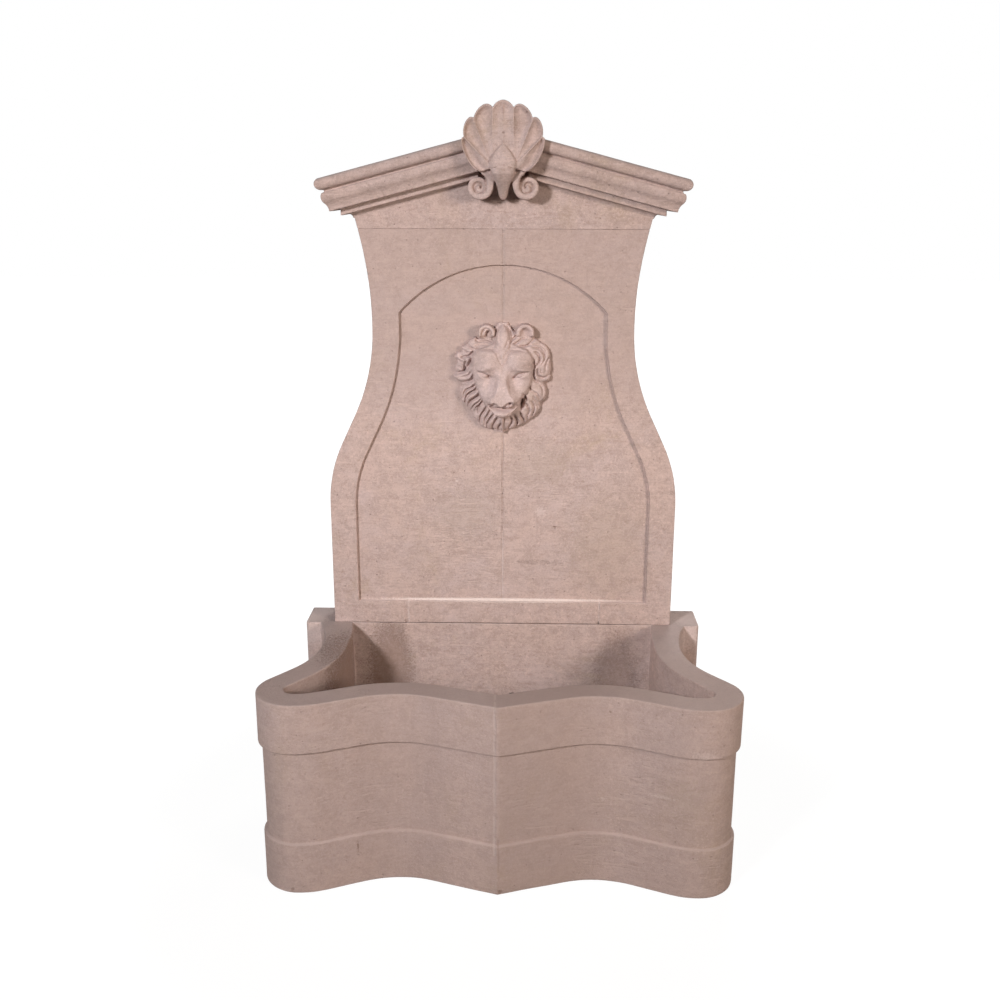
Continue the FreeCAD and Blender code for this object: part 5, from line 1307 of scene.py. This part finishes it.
# %% Mask
def outline_gap(across, up, outline):
    """Distance inside a closed outline, negative outside it."""
    inside = np.zeros(across.shape, bool)
    away = np.full(across.shape, 999.0)
    for (x1, z1), (x2, z2) in zip(outline, outline[1:] + outline[:1]):
        run_x, run_z = x2 - x1, z2 - z1
        square = run_x ** 2 + run_z ** 2
        share = np.clip(((across - x1) * run_x + (up - z1) * run_z) / square, 0.0, 1.0)
        away = np.minimum(away, np.hypot(across - x1 - share * run_x, up - z1 - share * run_z))
        level = up + 1e-4
        crosses = (z1 > level) != (z2 > level)
        hit = x1 + (level - z1) / (run_z if abs(run_z) > 1e-9 else 1e-9) * run_x
        inside ^= crosses & (across < hit)
    return np.where(inside, away, -away)


def mane_field(across, up):
    """How far inside the mane's outline each point is, and the uncut mane's height."""
    outline = bezier_through(MANE_OUTLINE + MANE_OUTLINE[:1], 4)[:-1]
    gap = outline_gap(across, up, outline)
    rim = 4.5 * np.sqrt(np.clip(gap, 0.0, 3.0) / 3.0)
    return gap, 11.5 + rim + 23.0 * (1.0 - np.exp(-np.clip(gap, 0, 99) / 17.0))


def ear_field(across, up):
    """Two cups with a raised rim, and a curl in the left one."""
    ears = np.full(across.shape, -99.0)
    for centre, reach in ((-31.0, 16.5), (42.0, 17.5)):
        away = np.hypot(across - centre, up - 88.0)
        cup = 31.0 - 9.0 * (1.0 - eased(away, 3.0, reach - 5.0))
        bead = np.sqrt(np.clip(1.0 - ((away - reach + 4.0) / 4.2) ** 2, 0.0, 1.0))
        edge = (5.0 if centre < 0 else 2.2) * bead
        shell = cup + edge - 4.0 - 1.6 * np.clip(84.0 - up, 0.0, 20.0)
        ears = np.where(away < reach, np.maximum(ears, shell), ears)
    curl = bezier([(-36, 85), (-35, 97), (-24, 99), (-19, 92)], 14)
    inner = ridge(across, up, curl, np.linspace(2.4, 3.4, 14), np.full(14, 25.5), 0.9)
    return np.maximum(ears, inner)


# Height and half width of the face where it goes down into the mane.
FACE_RIM = np.array([
    [-70.0, 6.0], [-62.0, 17.0], [-52.0, 26.0], [-42.0, 35.0], [-25.0, 44.0], [-8.0, 52.0],
    [20.0, 57.0], [46.0, 56.0], [58.0, 46.0], [70.0, 15.0], [100.0, 10.0]])
MANE_LEAST = 9.0
BELOW_FIELD = -12.0


def mask():
    across, up = grid(-98.0, 98.6, -104.0, 106.6)
    gap, mane = mane_field(across, up)
    mane = carved(mane, across, up, MANE_GROOVES)
    mane = np.where(gap > 0.0, np.maximum(mane, MANE_LEAST), BELOW_FIELD)
    face = carved(head_field(across, up), across, up, FACE_GROOVES)
    rim = np.interp(up, *FACE_RIM.T, left=0.0)
    past = np.clip((np.abs(across) - rim + 3.0) / 7.0, 0.0, 1.0)
    face = face - 30.0 * past * past
    field = soft_max(np.maximum(mane, ear_field(across, up)),
                     np.where(past < 1.0, face, -99.0), 1.2)
    field = np.where(field < 0.0, BELOW_FIELD, field)
    shape = relief_shape(across, up + MASK_UP, blurred(field, 1), 0.0, FIELD_FACE)
    return relief_piece(shape, "lion_mask_carved", MASK_STONE, voxel=1.05 * MM, gain=900.0)


MASK = mask()

# %% [markdown]
# Small hardware repeats, so Geometry Nodes make it. Each tree has named inputs for its sizes,
# takes points with an axis attribute, sets its shape on every point with its own Z along the
# axis, makes the copies real and gives them their material. The result is stored as a plain
# mesh, and the modifier goes.


# %% Helpers for hardware
def new_tree(name, *sizes):
    """Geometry tree with an input for each size, and its input sockets by name."""
    tree = bpy.data.node_groups.new(name, "GeometryNodeTree")
    tree.interface.new_socket("Geometry", in_out="INPUT", socket_type="NodeSocketGeometry")
    for label in sizes:
        kind = "NodeSocketInt" if label == "Count" else "NodeSocketFloat"
        tree.interface.new_socket(label, in_out="INPUT", socket_type=kind)
    tree.interface.new_socket("Finish", in_out="INPUT", socket_type="NodeSocketMaterial")
    tree.interface.new_socket("Geometry", in_out="OUTPUT", socket_type="NodeSocketGeometry")
    return tree, tree.nodes.new("NodeGroupInput").outputs


def vector(tree, x, y, z):
    return put(tree, "ShaderNodeCombineXYZ", {0: x, 1: y, 2: z})


def moved(tree, shape, shift, stretch=(1.0, 1.0, 1.0)):
    return put(tree, "GeometryNodeTransform", {
        "Geometry": shape, "Translation": shift, "Scale": stretch})


def aligned(tree, direction, axis):
    return put(tree, "FunctionNodeAlignRotationToVector", {"Vector": direction}, axis=axis)


def on_points(tree, given, shape):
    """Set the shape on the given points and end the tree."""
    axis = put(tree, "GeometryNodeInputNamedAttribute", {"Name": "axis"},
               data_type="FLOAT_VECTOR")
    copies = put(tree, "GeometryNodeInstanceOnPoints", {
        "Points": given["Geometry"], "Instance": shape, "Rotation": aligned(tree, axis, "Z")})
    real = put(tree, "GeometryNodeRealizeInstances", {"Geometry": copies})
    dressed = put(tree, "GeometryNodeSetMaterial", {"Geometry": real, "Material": given["Finish"]})
    return give(tree, {"Geometry": dressed})


# %% Hardware trees
def screw_tree():
    """Pan head screws with a cross slot, from the shank's end at the point."""
    tree, given = new_tree("pan_head_screws", "Shank Radius", "Shank Length", "Head Radius",
                           "Head Height", "Slot Width")
    length, radius = given["Shank Length"], given["Head Radius"]
    height, narrow = given["Head Height"], given["Slot Width"]
    half = times(tree, height, 0.5)
    body = math_node(tree, "ADD", length, half)
    shank = put(tree, "GeometryNodeMeshCylinder", {
        "Vertices": 24, "Radius": given["Shank Radius"], "Depth": body})
    shank = moved(tree, shank, vector(tree, 0.0, 0.0, times(tree, body, 0.5)))
    side = put(tree, "GeometryNodeMeshCylinder", {"Vertices": 48, "Radius": radius, "Depth": half})
    side = moved(tree, side, vector(tree, 0.0, 0.0, math_node(
        tree, "ADD", length, times(tree, height, 0.25))))
    dome = put(tree, "GeometryNodeMeshUVSphere", {"Segments": 48, "Rings": 24, "Radius": 1.0})
    dome = moved(tree, dome, vector(tree, 0.0, 0.0, body), vector(tree, radius, radius, half))
    whole = put(tree, "GeometryNodeMeshBoolean", {1: [shank, side, dome]}, operation="UNION",
                solver="EXACT")
    wide = times(tree, radius, 1.3)
    top = vector(tree, 0.0, 0.0, math_node(tree, "ADD", length, height))
    slots = [
        moved(tree, put(tree, "GeometryNodeMeshCube", {"Size": size}), top)
        for size in (vector(tree, wide, narrow, height), vector(tree, narrow, wide, height))
    ]
    return on_points(tree, given, put(
        tree, "GeometryNodeMeshBoolean", {0: whole, 1: slots}, operation="DIFFERENCE",
        solver="EXACT"))


def wire(tree, given, path, sides, **more):
    """Round bar along a path, as thick as the tree's input says, on the given points."""
    profile = put(tree, "GeometryNodeCurvePrimitiveCircle", {
        "Resolution": sides, "Radius": given["Thickness"]})
    return on_points(tree, given, put(tree, "GeometryNodeCurveToMesh", {
        "Curve": path, "Profile Curve": profile, **more}))


def ring_tree():
    """Round rings about the axis, such as solder at a joint or the barbs of a hose tail."""
    tree, given = new_tree("rings", "Radius", "Thickness")
    return wire(tree, given, put(tree, "GeometryNodeCurvePrimitiveCircle", {
        "Resolution": 64, "Radius": given["Radius"]}), 12)


def thread_tree():
    """Turns of a screw thread along the axis."""
    tree, given = new_tree("thread_turns", "Radius", "Length", "Turns", "Thickness")
    return wire(tree, given, put(tree, "GeometryNodeCurveSpiral", {
        "Resolution": 40, "Rotations": given["Turns"], "Start Radius": given["Radius"],
        "End Radius": given["Radius"], "Height": given["Length"]}), 6, **{"Fill Caps": True})


def grip_tree():
    """Ribs round an edge, with their length along the axis."""
    tree, given = new_tree("grip_ribs", "Count", "Radius", "Width", "Height")
    circle = put(tree, "GeometryNodeMeshCircle", {
        "Vertices": given["Count"], "Radius": given["Radius"]})
    rib = put(tree, "GeometryNodeMeshCube", {
        "Size": vector(tree, given["Width"], given["Width"], given["Height"])})
    outward = put(tree, "GeometryNodeInputPosition", {})
    return on_points(tree, given, put(tree, "GeometryNodeInstanceOnPoints", {
        "Points": circle, "Instance": rib, "Rotation": aligned(tree, outward, "X")}))


def bar_tree():
    """Level bars above one another, as the fine guard of a strainer."""
    tree, given = new_tree("guard_bars", "Count", "Pitch", "Length", "Thickness")
    line = put(tree, "GeometryNodeMeshLine", {
        "Count": given["Count"], "Offset": vector(tree, 0.0, 0.0, given["Pitch"])})
    bar = put(tree, "GeometryNodeMeshCube", {
        "Size": vector(tree, given["Length"], given["Thickness"], given["Thickness"])})
    return on_points(tree, given, put(
        tree, "GeometryNodeInstanceOnPoints", {"Points": line, "Instance": bar}))


SCREWS, RINGS, THREAD, GRIP, BARS = (
    screw_tree(), ring_tree(), thread_tree(), grip_tree(), bar_tree())
print("trees:", SCREWS.name, RINGS.name, THREAD.name, GRIP.name, BARS.name)

# %% [markdown]
# The places below are in millimetres in the model's frame, and each has the axis that the
# shape follows. The screws stand for their CAD nodes. The rest is added detail: solder at the
# pipe's joints, threads beside the nuts, barbs on the drain's tail, ribs and a pointer on the
# dial, rings on the stopper's grip, and the strainer's fine guard.


# %% Hardware pieces
def hardware(name, tree, places, sizes, slot):
    """Plain mesh with one tree's shape on each place; lengths in mm, counts as they are."""
    mesh = bpy.data.meshes.new(name)
    mesh.from_pydata([[value * MM for value in point] for point, _ in places], [], [])
    axis = mesh.attributes.new("axis", "FLOAT_VECTOR", "POINT")
    axis.data.foreach_set("vector", [float(value) for _, turn in places for value in turn])
    item = bpy.data.objects.new(name, mesh)
    scene.collection.objects.link(item)
    repeat = item.modifiers.new("repeat", "NODES")
    repeat.node_group = tree
    sockets = {socket.name: socket.identifier for socket in tree.interface.items_tree
               if socket.in_out == "INPUT"}
    for label, value in sizes.items():
        plain = isinstance(value, int) or label == "Turns"
        repeat[sockets[label]] = value if plain else value * MM
    repeat[sockets["Finish"]] = FINISHES[slot]
    baked(item)
    dress(item, FINISHES[slot])
    item.data.shade_smooth()
    item.data.set_sharp_from_angle(angle=math.radians(35))
    print(name, "faces:", len(item.data.polygons))
    return item, slot


UP, AHEAD, BACK = (0, 0, 1), (0, -1, 0), (0, 1, 0)
DRAIN = (150.0, -67.5)
DIAL = (26.0, 82.5)
EXTRAS = [
    (hardware("cover_screws_cut", SCREWS,
              [((x, 31.5, z), AHEAD) for x in (-32, 32) for z in (76, 118)],
              {"Shank Radius": 1.8, "Shank Length": 20.0, "Head Radius": 4.0, "Head Height": 2.4,
               "Slot Width": 0.9}, "stainless_steel"), "fountain", "cover_screws"),
    (hardware("clip_screws_cut", SCREWS,
              [((x, 167.5, z), BACK) for x in (-17, 17) for z in (500, 700)],
              {"Shank Radius": 2.0, "Shank Length": 10.0, "Head Radius": 4.0, "Head Height": 2.4,
               "Slot Width": 0.9}, "stainless_steel"), "fountain", "clip_screws"),
    (hardware("solder_rings", RINGS,
              [((0, 206.5, 194.2), UP), ((0, 206.5, 803.8), UP), ((0, 184.3, 172), BACK),
               ((0, 184.3, 826), BACK), ((0, 28.5, 149.8), UP), ((0, 50.7, 172), BACK)],
              {"Radius": 6.9, "Thickness": 0.8}, "stainless_steel"), "fountain", None),
    (hardware("spout_thread", THREAD, [((0, 174.8, 826), BACK)],
              {"Radius": 6.0, "Length": 8.6, "Turns": 8.0, "Thickness": 0.4}, "copper"),
     "fountain", None),
    (hardware("gland_thread", THREAD, [((0, 180.2, 172), BACK)],
              {"Radius": 10.9, "Length": 2.8, "Turns": 2.5, "Thickness": 0.5}, "brass"),
     "fountain", None),
    (hardware("drain_barbs", RINGS, [((*DRAIN, z), UP) for z in (7.4, 10.2, 13.0)],
              {"Radius": 15.8, "Thickness": 0.7}, "brass"), "fountain", None),
    (hardware("strainer_guard", BARS, [((0, -4.3, 77.5), UP)],
              {"Count": 10, "Pitch": 4.4, "Length": 58.0, "Thickness": 0.9}, "grey_plastic"),
     "intake_strainer", None),
    (hardware("dial_ribs", GRIP, [((*DIAL, 131.2), UP)],
              {"Count": 24, "Radius": 8.9, "Width": 1.1, "Height": 4.4}, "grey_plastic"),
     "flow_dial", None),
    (hardware("dial_pointer", BARS, [((DIAL[0], DIAL[1] - 3.6, 134.0), UP)],
              {"Count": 1, "Pitch": 1.0, "Length": 7.0, "Thickness": 1.2}, "grey_plastic"),
     "flow_dial", None),
    (hardware("stopper_ribs", RINGS, [((*DRAIN, z), UP) for z in (72.6, 74.8, 77.0)],
              {"Radius": 4.7, "Thickness": 0.6}, "black_rubber"), "drain_stopper", None),
]
for (piece, slot), body, node in EXTRAS:
    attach(piece, body)
    if node:
        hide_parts(node)
print("hardware pieces:", len(EXTRAS))

# %% [markdown]
# Last, the five stones ride on the fountain's body, and each stands for its CAD node.

# %% Join the pieces to the frame
for piece, node in ((BASIN, "basin"), (PANEL, "back_panel"), (PEDIMENT, "pediment"),
                    (CREST, "shell_crest"), (MASK, "lion_mask")):
    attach(piece, "fountain")
    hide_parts(node)
print("pieces:", BASIN.name, PANEL.name, PEDIMENT.name, CREST.name, MASK.name)

# %% End
print("all pieces built")
